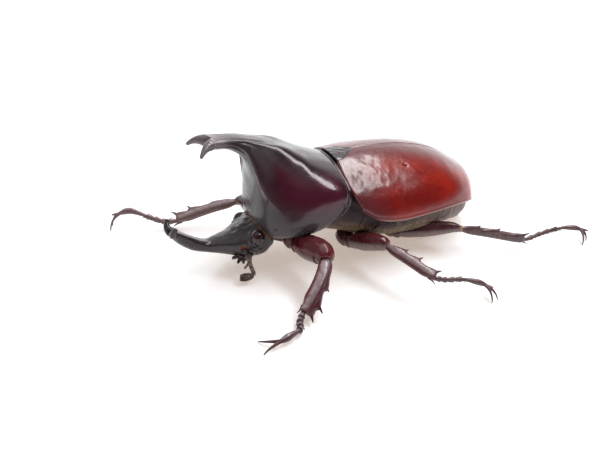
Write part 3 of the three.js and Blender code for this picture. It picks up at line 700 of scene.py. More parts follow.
def buildHead():
    # the sections with their relief; grey, but polished over the cheeks and the brow
    s, turn, grid = bodyAndHorn(head)
    grid = raised(grid, headRelief(grid, s[:, None], turn))
    rows = head["rows"]
    shell = tubeShell(grid[:rows])
    folded = np.abs(shell[0]) * np.sign(head["cheek"])  # both cheeks on one side
    polished = 0.7 * hill(np.linalg.norm(folded - head["cheek"], axis=-1), 0, 1.5)
    polished = polished + 0.5 * hill(np.linalg.norm(shell[0] - head["brow"], axis=-1), 0, 2.0)
    addPiece("headCapsule", shell, ["head"], "dark_shell", "dark",
             warmth=0.12, grey=0.9 - np.minimum(polished, 0.8))
    horn = forkedShell(grid[rows - 1:], head["fork"])
    addPiece("headHorn", horn, ["head_horn"], "dark_shell", "dark", warmth=0.12, grey=0.4)
    for name, side in sides:
        ball = ballShell(head["eye"] * mirrored(side), head["eyeSize"], 72, 48)
        addPiece(f"compoundEye_{name}", ball, [f"eye_{name}"], "eye", "eye")
    return grid[:rows], surfaceNormals(grid)[:rows]


headGrid, headNormals = buildHead()
print("head, its horn and the eyes built")

mouth = {
    "jaw": (-17.5, 2.5, -16.1), "jawSize": (1.25, 0.8, 0.85),
    "teeth": [((-19.5, 2.9, -16.2), 0.62), ((-18.5, 3.2, -17.3), 0.58), ((-17.3, 3.2, -17.6), 0.55),
              ((-19.1, 1.9, -16.9), 0.45)],
    "lumps": [((-17.5, 3.9, -14.8), 0.6), ((-16.7, 4.2, -15.4), 0.65), ((-16.5, 4.6, -14.5), 0.4)],
    "palp": [(-16.7, 3.7, -16.1), (-16.8, 4.1, -17.2), (-17.6, 4.2, -18.1)], "palpRadius": (0.3, 0.2),
    "lipPalp": [(-15.9, 1.6, -16.6), (-16.3, 1.7, -17.5), (-17.1, 1.5, -18.0)],
}


def buildMouth():
    # each jaw is a ball with teeth and lumps fused into one skin; beside it hang two beaded palps
    def joints(t, turn):
        beads = 0.7 + 0.3 * np.abs(np.sin(3 * pi * t ** 1.2)) ** 0.6
        size = lerp(*mouth["palpRadius"], t) * beads * roundEnd(t, 0.12)
        return size, size
    root = np.array(mouth["jaw"])
    shells = [ballShell(root, mouth["jawSize"], 48, 32)]
    for tip, radius in mouth["teeth"]:
        middle = lerp(root, np.array(tip), 0.55) + [0, 0.25, 0.1]
        shells.append(spikeShell(lerp(root, np.array(tip), 0.2), middle, tip, radius, 0.2, 20, 22))
    for middle, radius in mouth["lumps"]:
        shells.append(ballShell(middle, (radius * 1.2, radius, radius * 0.85), 32, 24))
    points, faces = fused(together(*shells), 0.055, 2)
    points = points + 0.05 * noiseOver(points, 0.7, 15)[:, None] * unit(points - root)
    for name, side in sides:
        jaw = outward(points * mirrored(side), faces)
        addPiece(f"toothedJaw_{name}", jaw, [f"mandible_{name}"], "dark_shell", "dark", warmth=0.2, grey=0.35)
        palps = [tubeShell(sweepGrid(threaded(mouth[part] * mirrored(side)), (0, 1, 0), joints, 20, 70))
                 for part in ("palp", "lipPalp")]
        addPiece(f"palps_{name}", together(*palps), [f"palp_{name}"], "leg_shell", "feeler")


antennae = {
    "left": {"stem": [(-16.5, -4.3, -15.0), (-16.7, -4.5, -16.6), (-16.4, -4.5, -17.7), (-15.9, -4.5, -18.9),
                      (-15.85, -4.5, -19.5)], "club": (-18.5, -4.5, -19.7)},
    "right": {"stem": [(-15.2, 4.0, -14.8), (-14.9, 4.5, -15.4), (-14.4, 4.6, -15.8), (-13.8, 4.6, -16.1),
                       (-13.4, 4.6, -16.2)], "club": (-10.8, 4.4, -16.1)},
    "leaves": 3, "leafGap": 0.40,
}


def buildAntennae():
    # a beaded stem and a club of flat leaves, each bent out from the stem's end to the club's
    def beads(t, turn):
        # a long first joint, then six short ones
        part = np.where(t < 0.3, t / 0.3, (t - 0.3) / 0.7 * 6 % 1)
        size = np.where(t < 0.3, 0.26 + 0.18 * smooth(part, 0.1, 0.9), 0.29 + 0.12 * np.sin(pi * part) ** 0.7)
        size = size * (1 - 0.3 * hill(t, 0.3, 0.012)) * roundEnd(1 - t, 0.05) * roundEnd(t, 0.05)
        return size, size

    def leaf(t, turn):
        swell = np.sqrt(np.clip(1 - (1.9 * t - 0.95) ** 2, 0.0, 1))
        return 0.78 * swell, 0.215 * swell ** 0.7
    for name, side in sides:
        stem, tip = antennae[name]["stem"], np.array(antennae[name]["club"])
        root = np.array(stem[-1])
        rod = tubeShell(sweepGrid(threaded(stem), (0, 1, 0), beads, 24, 190))
        addPiece(f"antennaStem_{name}", rod, [f"antenna_{name}"], "feeler", "feeler")
        leaves = []
        for n in range(antennae["leaves"]):
            away = np.array([0, 0, (n - 1) * antennae["leafGap"]])
            path = bent(root + away * 0.4, lerp(root, tip, 0.5) + away * 1.3, tip + away)
            leaves.append(tubeShell(sweepGrid(path, (0, 1, 0), leaf, 36, 46)))
        addPiece(f"antennaLeaves_{name}", together(*leaves), [f"antenna_club_{name}"], "feeler", "feeler")


buildMouth()
buildAntennae()
print("mouth and antennae built")

# stations: place along the length, X and Z of the seam, then X, Z and half width of the outer margin
elytra = {
    "stations": [
        [0.00, 0.55, 0.5, 2.0, -7.0, 11.2],
        [0.12, 4.0, 0.8, 5.2, -8.8, 12.0],
        [0.30, 9.2, 1.0, 9.6, -9.3, 12.3],
        [0.50, 15.2, 0.5, 15.2, -8.9, 12.0],
        [0.68, 21.0, -1.1, 20.8, -8.6, 10.8],
        [0.82, 25.5, -3.7, 25.4, -9.2, 8.3],
        [0.91, 27.7, -5.6, 27.4, -10.2, 5.5],
        [0.96, 28.7, -8.2, 28.7, -11.0, 3.2],
        [1.00, 29.9, -11.1, 29.9, -11.7, 0.9],
    ],
    "power": 1.95, "frontBulge": 1.1, "thickness": 0.6, "gap": 0.25, "seam": 0.05, "rows": 250, "columns": 150,
    "edgeRadius": 0.35, "rimHeight": 0.10, "rimPlace": 0.32, "stria": 0.02,
    "pit": (12.3, 6.8, -0.9), "pitDepth": 0.35, "shoulder": (5.2, 7.6, -2.0), "shoulderHeight": 0.35,
    "puckers": (0.026, 0.008), "uneven": 0.015,
}


def inward(points, depth):
    # straight in from the wing cases, towards a spine inside the body
    spine = np.stack([np.clip(points[..., 0], 6, 20), 0 * points[..., 0], 0 * points[..., 0] - 8.5], -1)
    return points + unit(spine - points) * np.asarray(depth)[..., None]


def elytraPoint(s, turn, depth):
    # the upper half of a section, its front edge bulged forwards on each case, then sunk by a depth
    topX, topZ, sideX, sideZ, halfWidth = np.moveaxis(through(elytra["stations"], s), -1, 0)
    power = np.full_like(topX, elytra["power"])
    rows = np.stack([topX, topZ, sideX, sideZ, sideX, sideZ, halfWidth, power, power], -1)
    points = sectionPoint(rows, turn)
    points[..., 0] -= elytra["frontBulge"] * np.sin(2 * turn) ** 2 * (1 - smooth(s, 0, 0.22))
    return inward(points, depth)


def edgeDistance(grid):
    # measured along the surface: from the seam, from the margin, from the front and from the tail
    across = np.linalg.norm(np.diff(grid, axis=1), axis=-1)
    seam = np.concatenate([np.zeros((len(grid), 1)), np.cumsum(across, 1)], 1)
    along = np.linalg.norm(np.diff(grid, axis=0), axis=-1)
    front = np.concatenate([np.zeros((1, grid.shape[1])), np.cumsum(along, 0)], 0)
    return seam, seam[:, -1:] - seam, front, front[-1:] - front


def buildElytra():
    # one case from its seam to its margin, with rounded edges, a bead along the margin, a faint line beside the
    # seam, a pit, a shoulder bump and puckers round it; the inner face lies straight below
    rows, columns = elytra["rows"], elytra["columns"]
    s = np.linspace(0, 1, rows)[:, None] * np.ones((1, columns))
    turn = (pi / 2) * (1 - np.linspace(0, 1, columns))[None] * np.ones((rows, 1))
    base = elytraPoint(s, turn, 0 * s)
    seam, margin, front, tail = edgeDistance(base)
    radius = elytra["edgeRadius"]
    near = np.minimum(np.minimum(margin, front * 0.8), np.minimum(tail, seam * 2.2 + 0.1))
    height = np.sqrt(np.maximum(radius ** 2 - np.maximum(radius - near, 0) ** 2, 0)) - radius
    bead = hill(margin, elytra["rimPlace"], 0.16) - 0.5 * hill(margin, 0.75, 0.2)
    height = height + elytra["rimHeight"] * bead * smooth(tail, 0, 3)
    height = height - elytra["stria"] * hill(seam, 0.8, 0.25) * smooth(front, 3.5, 6) * smooth(tail, 1, 4)
    height = height - elytra["pitDepth"] * hill(np.linalg.norm(base - elytra["pit"], axis=-1), 0, 0.3)
    shoulder = np.linalg.norm((base - elytra["shoulder"]) * [0.75, 1, 1], axis=-1)
    height = height + elytra["shoulderHeight"] * hill(shoulder, 0, 2.6)
    height = height + elytra["uneven"] * noiseOver(base, 3.0, 22)
    wrinkled = hill(shoulder, 0, 4.2)
    large, small = elytra["puckers"]
    height = height + (noiseOver(base, 2.2, 21) * large + noiseOver(base, 1.0, 23) * small) * wrinkled
    ruddy = smooth(seam, 2.0, 7.5) * smooth(front, 2.0, 8.0) * smooth(tail, 0.8, 4.0)
    # a painted highlight: the whitish hem line on the margin's bead
    hem = 0.8 * hill(margin, 0.3, 0.22) * smooth(front, 2.0, 6.0)
    outer = raised(base + [0, elytra["seam"], 0], height, False)
    inner = inward(base, 0 * s + elytra["thickness"]) + [0, elytra["seam"], 0]
    tones = {"ruddy": ruddy, "wrinkled": wrinkled, "hem": hem}
    tones = {key: np.tile(values.ravel(), 2) for key, values in tones.items()}
    for name, side in sides:
        shell = plateShell(outer * mirrored(side), inner * mirrored(side))
        addPiece(f"wingCase_{name}", shell, [f"elytron_{name}"], "red_shell", "red", **tones)


buildElytra()

scutellum = {
    "halfWidth": 3.4, "front": 0.3, "tip": 4.7, "raise": 0.07, "depth": 0.45, "edge": 0.3, "rounding": 0.2,
    "halfSpan": 11.6, "halfDrop": 7.6, "rows": 70, "columns": 90,
}


def buildScutellum():
    # a heart-shaped shield whose half width shrinks along a curve; it follows the top of the wing cases,
    # which falls away to each side as an ellipse
    t = np.linspace(0, 1, scutellum["rows"])[:, None]
    across = np.linspace(-1, 1, scutellum["columns"])[None]
    x = lerp(scutellum["front"], scutellum["tip"], t)
    half = scutellum["halfWidth"] * (1 - t ** 1.75) + 0.02
    edge = np.minimum((1 - np.abs(across)) * half, scutellum["edge"])
    rounding = 1 - np.sqrt(np.maximum(1 - (1 - edge / scutellum["edge"]) ** 2, 0))
    y = half * across
    fall = scutellum["halfDrop"] * (1 - np.sqrt(1 - (y / scutellum["halfSpan"]) ** 2))
    top = np.interp(x, *np.array(elytra["stations"])[:, 1:3].T)
    z = top + scutellum["raise"] - fall - scutellum["rounding"] * rounding
    grid = np.stack([x + 0 * y, y, z], -1)
    grid[..., 2] += 0.02 * noiseOver(grid, 1.2, 31)
    shell = plateShell(grid, grid - [0, 0, scutellum["depth"]])
    addPiece("heartShield", shell, ["scutellum"], "dark_shell", "dark", warmth=0, grey=0.45)


buildScutellum()
print("wing cases built")

# belly: place along the length, X and Z of the under line, squareness; the rest as sectionPoint lists
trunk = {
    "belly": [
        [0.00, 0.6, -13.3, 2.3],
        [0.14, 5.0, -14.2, 2.2],
        [0.32, 10.4, -14.6, 2.2],
        [0.60, 18.6, -14.4, 2.2],
        [0.82, 24.4, -14.6, 2.2],
        [0.90, 26.0, -14.1, 2.2],
        [1.00, 28.2, -12.3, 2.2],
    ],
    "start": 0.02, "abdomen": 0.31, "pygidium": 0.9, "end": 0.985, "gap": 0.0015,
    "rings": 6, "step": 0.3, "around": 200,
    "collar": [0.4, -0.5, 0.1, -5.8, -4.2, -12.2, 9.3, 2.2, 2.4],
    "prosternum": [
        [0.0, -11.2, -13.2, -11.2, -13.8, -11.2, -14.6, 2.2, 4.0, 2.0],
        [0.5, -8.4, -13.2, -8.4, -14.0, -8.4, -15.4, 3.2, 4.0, 2.0],
        [1.0, -5.4, -13.1, -5.4, -13.6, -5.4, -14.4, 2.6, 4.0, 2.0],
    ],
}


def trunkPoint(s, turn):
    # follows the inside of the wing cases above, and the belly line below
    depth = np.full(np.broadcast(s, turn).shape, elytra["thickness"] + elytra["gap"])
    s, turn = s + 0 * depth, turn + 0 * depth
    upper = np.sin(turn) >= 0
    above = elytraPoint(s, np.where(upper, turn, 0), depth)
    sideX, half, sideZ = np.moveaxis(elytraPoint(s, 0 * turn, depth), -1, 0)
    lowX, lowZ, square = np.moveaxis(through(trunk["belly"], s), -1, 0)
    rows = np.stack([sideX, sideZ, sideX, sideZ, lowX, lowZ, half, 0 * square + 2, square], -1)
    return np.where(upper[..., None], above, sectionPoint(rows, turn))


def trunkGrid(start, end, along):  # the trunk between two places on its length
    s = np.linspace(start, end, along)[:, None]
    turn = turns(trunk["around"])[None]
    return trunkPoint(s, turn), s, turn


def buildTrunk():
    # a collar, breast plates with their seams, belly rings that step out one over the next, and the tail plate
    def under(name, grid, node, uneven, downy=0.6, slot="underside", finish="under"):
        grid = raised(grid, uneven)
        shell = tubeShell(grid)
        x, z = shell[0][:, 0], shell[0][:, 2]
        flank = np.clip(1 - np.abs(z + 12.0) / 3.0, 0, 1)
        # the mask high on the front of the trunk marks painted shade under the overhang
        addPiece(name, shell, [node], slot, finish, downy=downy * flank, ruddy=0.25,
                 rosy=0.75 * smooth(x, 12, 22), gloom=smooth(z + 0.25 * x, -9.8, -8.2) * (x < 9))
    gap, turn = trunk["gap"], turns(trunk["around"])[None]
    frontRing = sectionPoint(np.array(trunk["collar"])[None, None], turn)
    backRing = trunkPoint(np.full((1, 1), trunk["start"]), turn)
    collar = lerp(frontRing, backRing, np.linspace(0, 1, 24)[:, None, None])
    under("wingBearer", collar, "mesothorax", 0.02 * noiseOver(collar, 1.5, 41), 0.9)
    grid, s, turn = trunkGrid(trunk["start"] + 2 * gap, trunk["abdomen"] - gap, 100)
    below = smooth(-np.sin(turn), 0.0, 0.3)
    plates = -0.16 * hill(s, 0.16 + 0.05 * np.cos(turn), 0.006) * below - 0.14 * hill(np.sin(turn), -0.5, 0.05)
    under("breastPlates", grid, "metathorax", plates * below + 0.03 * noiseOver(grid, 1.2, 42), 1.0)
    grid, s, turn = trunkGrid(trunk["abdomen"], trunk["pygidium"] - gap, 220)
    part = (s - s.min()) / (s.max() - s.min()) * trunk["rings"] % 1
    part[-1] = 1
    below = smooth(-np.sin(turn), -0.02, 0.2)
    steps = -trunk["step"] * (1 - part) ** 1.5 - 0.12 * hill(part, 0, 0.07) - 0.10 * hill(part, 1, 0.05)
    under("bellyRings", grid, "abdomen", steps * below + 0.02 * noiseOver(grid, 1.4, 43), 0.5)
    grid, s, turn = trunkGrid(trunk["pygidium"], trunk["end"], 60)
    under("tailPlate", grid, "pygidium", 0.02 * noiseOver(grid, 1.4, 44), 0.2, "red_shell", "red")
    keel = lengthGrid(trunk["prosternum"], np.linspace(0, 1, 60), 80)
    under("throatKeel", keel, "prosternum", 0.03 * noiseOver(keel, 1.0, 45))
    return trunkGrid(trunk["start"], trunk["end"], 200)[0]


trunkSkin = buildTrunk()
print("underside built")

# legs in place on the floor: where the root starts, hip, knee and ankle, the foot's joints and the claws' tips;
# the toothed edge's direction and the shin's bow; height and depth of the thigh and its narrowing to the knee;
# the shin's neck, depth and blade and its blunt end; teeth as place, reach and lean. Then the tones: the level
# on the thigh where red gives way to dust, how dusty and ruddy the leg is, and the strength of its painted
# sheen
legs = {
    "fore_left": {
        "inside": (-9.2, -4.6, 8.0), "hip": (-9.4, -7.2, 6.4), "knee": (-6.9, -14.9, 7.6),
        "ankle": (-14.2, -21.8, 2.0),
        "foot": [(-15.4, -23.2, 1.4), (-16.1, -25.0, 1.2), (-18.4, -26.2, 1.3), (-20.7, -26.9, 1.15)],
        "claws": [(-23.7, -24.0, 0), (-24.2, -28.0, 0)], "edge": (0.85, -0.52, -0.3), "bend": (2.3, -0.6, 1.6),
        "thigh": (2.4, 2.2), "taper": 0.0, "shin": (1.3, 1.05, 1.45), "blunt": 0.03, "footSize": 1.35,
        "teeth": [(0.6, 1.5, 0.55), (0.86, 2.2, 0.75), (0.985, 1.5, 1.35)],
        "split": 0.1, "dust": 0.0, "ruddy": 1.0, "pale": 1.0,
    },
    "mid_left": {
        "inside": (0.5, -5.2, 5.6), "hip": (0.2, -8.4, 5.0), "knee": (4.3, -15.4, 7.4),
        "ankle": (9.0, -26.4, 5.9),
        "foot": [(11.2, -26.3, 4.9), (14.7, -26.1, 3.9), (17.5, -26.7, 2.9), (18.9, -27.2, 2.2)],
        "claws": [(18.7, -30.1, 0), (20.1, -29.6, 0)], "edge": (0.9, 0.1, 0.4), "bend": (0, 0, 0.4),
        "thigh": (1.75, 1.6), "taper": 0.12, "shin": (0.95, 0.8, 1.0), "blunt": 0.08, "footSize": 1.05,
        "teeth": [(0.36, 1.3, 0.5), (0.62, 1.5, 0.5), (0.96, 1.4, 0.8)],
        "split": 0.55, "dust": 0.3, "ruddy": 0.8, "pale": 0.55,
    },
    "hind_left": {
        "inside": (8.6, -4.6, 5.0), "hip": (9.8, -7.8, 3.9), "knee": (20.0, -13.1, 5.4),
        "ankle": (32.4, -16.9, 1.9),
        "foot": [(36.6, -16.5, 2.2), (40.0, -17.0, 2.6), (42.2, -17.5, 2.4), (43.7, -17.9, 1.9)],
        "claws": [(42.6, -20.5, 0), (44.0, -19.4, 0)], "edge": (0, -0.3, 1), "bend": (0, 0, 0.3),
        "thigh": (1.5, 1.35), "taper": 0.3, "shin": (0.9, 0.75, 0.98), "blunt": 0.09, "footSize": 1.0,
        "teeth": [(0.3, 1.3, 0.6), (0.58, 1.4, 0.6), (0.95, 1.5, 1.0)],
        "split": 0.45, "dust": 0.3, "ruddy": 0.25, "pale": 0.4,
    },
    "fore_right": {
        "inside": (-9.4, 2.2, 7.4), "hip": (-10.6, 3.4, 5.4), "knee": (-12.7, 11.4, 5.2),
        "ankle": (-24.5, 14.7, 1.7),
        "foot": [(-26.9, 15.3, 1.9), (-29.3, 16.7, 2.7), (-32.1, 18.7, 3.5), (-34.0, 19.6, 2.9)],
        "claws": [(-36.2, 18.5, 0), (-35.3, 20.0, 0)], "edge": (-0.2, 0.8, 0.5), "bend": (0, 0, 0.9),
        "thigh": (1.9, 1.6), "taper": 0.4, "shin": (0.95, 0.8, 1.05), "blunt": 0.08, "footSize": 1.2,
        "teeth": [(0.42, 0.7, 0.4), (0.76, 1.5, 0.7), (0.97, 1.5, 1.0)],
        "split": 0.4, "dust": 0.8, "ruddy": 0.0, "pale": 0.9,
    },
    "mid_right": {
        "inside": (1.3, 1.8, 5.4), "hip": (1.5, 3.4, 3.6), "knee": (4.2, 12.4, 6.1),
        "ankle": (7.4, 22.4, 2.5),
        "foot": [(9.3, 23.4, 2.2), (11.5, 24.3, 2.2), (13.6, 25.0, 2.0), (15.2, 25.4, 1.7)],
        "claws": [(16.2, 27.2, 0), (17.4, 26.1, 0)], "edge": (0.9, -0.1, 0.4), "bend": (0, 0, 0.3),
        "thigh": (1.6, 1.4), "taper": 0.12, "shin": (0.85, 0.75, 1.0), "blunt": 0.08, "footSize": 1.0,
        "teeth": [(0.33, 1.0, 0.5), (0.6, 1.2, 0.5), (0.96, 1.2, 0.8)],
        "split": 0.5, "dust": 0.3, "ruddy": 0.5, "pale": 0.4,
    },
    "hind_right": {
        "inside": (8.8, 2.4, 4.8), "hip": (9.8, 4.2, 3.2), "knee": (16.4, 12.4, 4.6),
        "ankle": (22.6, 19.8, 2.0),
        "foot": [(24.6, 20.6, 1.9), (26.6, 20.8, 2.0), (28.4, 20.4, 1.9), (29.6, 19.8, 1.6)],
        "claws": [(31.2, 20.0, 0), (30.8, 18.4, 0)], "edge": (0, 0.3, 1), "bend": (0, 0, 0.3),
        "thigh": (1.5, 1.3), "taper": 0.3, "shin": (0.85, 0.7, 0.98), "blunt": 0.09, "footSize": 1.0,
        "teeth": [(0.3, 0.9, 0.5), (0.58, 1.1, 0.5), (0.96, 1.2, 0.8)],
        "split": 0.45, "dust": 0.3, "ruddy": 0.3, "pale": 0.4,
    },
}
for legSizes in legs.values():
    legSizes.update({key: np.array(legSizes[key], float) for key in ("inside", "hip", "knee", "ankle", "edge")})


def shinPath(leg):  # from knee to ankle, bowed at its middle
    return bent(leg["knee"], lerp(leg["knee"], leg["ankle"], 0.5) + leg["bend"], leg["ankle"])


def edgeFrame(leg):  # along the shin, and square to it towards the toothed edge
    ahead = unit(leg["ankle"] - leg["knee"])
    return ahead, unit(leg["edge"] - ahead * (leg["edge"] @ ahead))


def buildCoxa(leg):
    # a rounded root joint that comes out of the body, then the small joint before the thigh
    inside, hip = leg["inside"], leg["hip"]
    ahead = unit(leg["knee"] - hip)
    rows = [[0, 0.75], [0.35, 0.95], [0.62, 0.82], [0.7, 0.62], [0.84, 0.72], [1, 0.5]]

    def half(t, turn):
        size = through(rows, t[:, 0]) * min(leg["thigh"]) * roundEnd(t, 0.16) * roundEnd(1 - t, 0.25)
        return size * 1.08, size
    path = threaded([inside, lerp(inside, hip, 0.6), hip + ahead * 0.4, hip + ahead * 1.5])
    return tubeShell(sweepGrid(path, (1, 0, 0), half, 56, 80))


def buildFemur(leg):
    # fullest a little past the middle, with a keel above and an open slot that takes the shin
    tall, deep = leg["thigh"]
    hip, knee = leg["hip"], leg["knee"]
    rows = [[0, 0.5], [0.12, 0.76], [0.35, 0.98], [0.6, 1.0], [0.8, 0.9], [0.92, 0.76], [1, 0.66]]

    def half(t, turn):
        size = through(rows, t[:, 0]) * roundEnd(t, 0.09) * roundEnd(1 - t, 0.14)
        size = size * (1 - leg["taper"] * smooth(t, 0.4, 0.95))
        ridge = 1 + 0.05 * hill(wrapped(turn - 0.45), 0, 0.2) - 0.04 * hill(wrapped(turn - 0.9), 0, 0.2)
        slot = 1 - 0.3 * hill(wrapped(turn - pi), 0, 0.5) * smooth(t, 0.8, 0.98)
        return tall * size * ridge * slot, deep * size * ridge
    end = knee + (unit(knee - hip) * 0.1 + unit(leg["ankle"] - knee) * 0.5) * tall
    path = threaded([hip, lerp(hip, knee, 0.45) + [0, 0, 0.3], lerp(hip, knee, 0.9) + [0, 0, 0.3], end])
    grid = sweepGrid(path, (0, 0, 1), half, 84, 110)
    return tubeShell(raised(grid, 0.02 * noiseOver(grid, 1.3, 51)))


def shinSize(leg, t):
    # a round head in the knee, a neck, then a blade that widens to the ankle; half breadth and half depth
    neck, deep, blade = leg["shin"]
    size = through([[0, 0.62], [0.05, 0.74], [0.09, 0.66], [0.2, 0.96], [0.4, 1.0], [1, 1.0]], t)
    return lerp(neck, blade, t[:, None] ** 1.5) * size, deep * size


def buildTibia(leg):
    # the blade swells before each tooth and is grooved on both sides; teeth stand on its edge, and two spurs at
    # the ankle; all fused into one skin
    path, blade = shinPath(leg), leg["shin"][2]
    ahead, edge = edgeFrame(leg)

    def half(t, turn):
        breadth, depth = shinSize(leg, t[:, 0])
        rounded = roundEnd(t, leg["blunt"]) * roundEnd(1 - t, 0.12)
        swell = sum(0.28 * reach * smooth(t, place - 0.2, place - 0.01) * (1 - smooth(t, place, place + 0.05))
                    for place, reach, lean in leg["teeth"])
        outer = np.maximum(np.cos(turn), 0) ** 3
        tucked = 0.5 * np.maximum(-np.cos(turn), 0) * smooth(t, 0.78, 1.0) * breadth
        groove = 1 - 0.07 * hill(np.abs(wrapped(turn)), 1.0, 0.16) * smooth(t, 0.35, 0.6)
        return (breadth + swell * outer - tucked) * rounded, depth * rounded * groove
    shells = [tubeShell(sweepGrid(path, leg["edge"], half, 72, 150))]
    for place, reach, lean in leg["teeth"]:
        breadth = shinSize(leg, np.array([place]))[0].item()
        root = path(place - 0.04) + edge * breadth * 0.45
        bend = root + edge * reach * 0.55 + ahead * reach * lean * 0.35
        tip = root + edge * reach + ahead * reach * lean
        shells.append(spikeShell(root, bend, tip, 0.42 * breadth + 0.2, 0.07, 24, 30, 0.62))
    inner = path(0.92) - edge * blade * 0.55
    for side, long in ((-1, 1.9), (0.2, 1.4)):
        shells.append(spikeShell(inner + edge * (side + 1) * 0.4, inner + ahead + edge * (side + 1) * 0.35,
                                 inner + ahead * long + edge * side * 0.5, 0.34, 0.06, 16, 22))
    return fused(together(*shells), 0.07)


def buildTarsus(leg):
    # four short joints that flare towards the foot, each with a pair of small spines, then the long last joint
    path = threaded([leg["ankle"], *leg["foot"]])
    small, girth = 0.52, leg["footSize"]  # the share of the length that the short joints take

    def half(t, turn):
        part = np.where(t < small, t / small * 4 % 1, (t - small) / (1 - small))
        short = 0.33 + 0.26 * part ** 1.1 * (1 - smooth(part, 0.86, 1.0))
        long = 0.30 + 0.24 * np.sin(pi * part ** 1.4) ** 1.2
        size = girth * np.where(t < small, short, long) * roundEnd(t, 0.03) * roundEnd(1 - t, 0.03)
        return size, size * 0.88
    shells = [tubeShell(sweepGrid(path, (0, 0, 1), half, 36, 220))]
    for n in range(4):
        before, end = path(small * np.array([n + 0.72, n + 0.95]) / 4)
        ahead = unit(end - before)
        across = unit(np.cross(ahead, [0, 0, 1]))
        for side in (across, -across):
            root = end + side * 0.25 * girth + [0, 0, -0.1]
            tip = root + ahead * 0.65 * girth + side * 0.3 + [0, 0, -0.12]
            shells.append(spikeShell(root, root + ahead * 0.3 + side * 0.2, tip, 0.16 * girth, 0.04, 12, 12))
    points, faces = together(*shells)
    points[:, 2] = np.maximum(points[:, 2], 0.05)
    return points, faces


def buildClaws(leg):
    # two hooks that bow over to their tips on the floor, and a short peg between them
    before, root = np.array(leg["foot"][-2:])
    ahead = unit(root - before)
    shells = []
    for tip in leg["claws"]:
        tip = np.array(tip, float) + [0, 0, 0.1]
        bend = lerp(root, tip, 0.55) + ahead * 0.8
        bend[2] = max(bend[2], root[2] * 0.75)
        shells.append(spikeShell(root - ahead * 0.2, bend, tip, 0.34 * leg["footSize"] ** 0.5, 0.09, 24, 44))
    shells.append(spikeShell(root, root + ahead * 0.7, root + ahead * 1.5, 0.3, 0.16, 16, 16))
    points, faces = together(*shells)
    points[:, 2] = np.maximum(points[:, 2], 0)
    return points, faces


def kneeRing(leg):
    # the soft skin between thigh and shin: a short ribbed sleeve round the shin's neck
    def half(t, turn):
        breadth, depth = shinSize(leg, t[:, 0])
        ribs = 1.04 + 0.05 * np.sin(t * 900) ** 2
        rounded = roundEnd((t - 0.035) / 0.05, 0.3) * roundEnd((0.085 - t) / 0.05, 0.3)
        return breadth * ribs * rounded, depth * ribs * rounded
    return tubeShell(sweepGrid(shinPath(leg), leg["edge"], half, 48, 24, 0.036, 0.084))


# each part: the piece's name, the function that builds it, and its shares of red and of painted sheen
legParts = {
    "coxa": ("hipJoint", buildCoxa, 0.7, 0.0), "femur": ("thigh", buildFemur, 1.0, 0.1),
    "tibia": ("shin", buildTibia, 0.35, 1.0), "tarsus": ("foot", buildTarsus, 0.1, 0.7),
    "claws": ("clawPair", buildClaws, 0.5, 0.2),
}


def legTones(points, leg, part, red, pale):
    # the thigh is red above a level and dusty below it; the shin is red inside and has a painted sheen on its
    # broad face
    red, pale, dusty = red * leg["ruddy"], pale * leg["pale"], leg["dust"]
    hip, knee = leg["hip"], leg["knee"]
    if part == "femur":
        t = np.clip((points - hip) @ (knee - hip) / ((knee - hip) @ (knee - hip)), 0, 1)
        level = (points[:, 2] - lerp(hip, knee, t[:, None])[:, 2]) / leg["thigh"][0]
        red = red * smooth(level, leg["split"] - 0.3, leg["split"] + 0.15)
        dusty = 0.85 * (1 - smooth(level, leg["split"] - 0.4, leg["split"] + 0.05))
    if part == "tibia":
        ahead, edge = edgeFrame(leg)
        t = np.clip((points - knee) @ ahead / np.linalg.norm(leg["ankle"] - knee), 0, 1)
        out = ((points - shinPath(leg)(t)) @ edge) / leg["shin"][2]
        red = red + leg["ruddy"] * 0.8 * smooth(-out, 0.35, 0.75)
        # the painted sheen runs along the middle of the shin's broad face
        pale = pale * smooth(1 - np.abs(out), 0.1, 0.6)
    return {"ruddy": red, "pale": pale, "dusty": dusty}


kneeRings = together(*(kneeRing(leg) for leg in legs.values()))
addPiece("kneeMembranes", kneeRings, [], "underside", "membrane", fromFloor)
for legName, leg in legs.items():
    for part, (pieceName, build, red, pale) in legParts.items():
        shell = build(leg)
        addPiece(f"{pieceName}_{legName}", shell, [f"{legName}_{part}"], "leg_shell", "leg", fromFloor,
                 **legTones(shell[0], leg, part, red, pale))
print("legs built")

# tufts: how many, how long and thick, how far they lean along and across the skin, and how far they spread
hair = {
    "fringe": {"tufts": 900, "length": (0.25, 0.45), "radius": 0.022, "flow": (-0.4, 0.0), "spread": 0.06},
    "flank": {"tufts": 1500, "length": (0.4, 0.8), "radius": 0.014, "flow": (1.0, -0.5), "spread": 0.25},
    "brush": {"tufts": 34, "length": (0.35, 0.6), "radius": 0.026, "flow": (1.0, 0.0), "spread": 0.10},
    "strands": 4, "patch": 0.003,
}


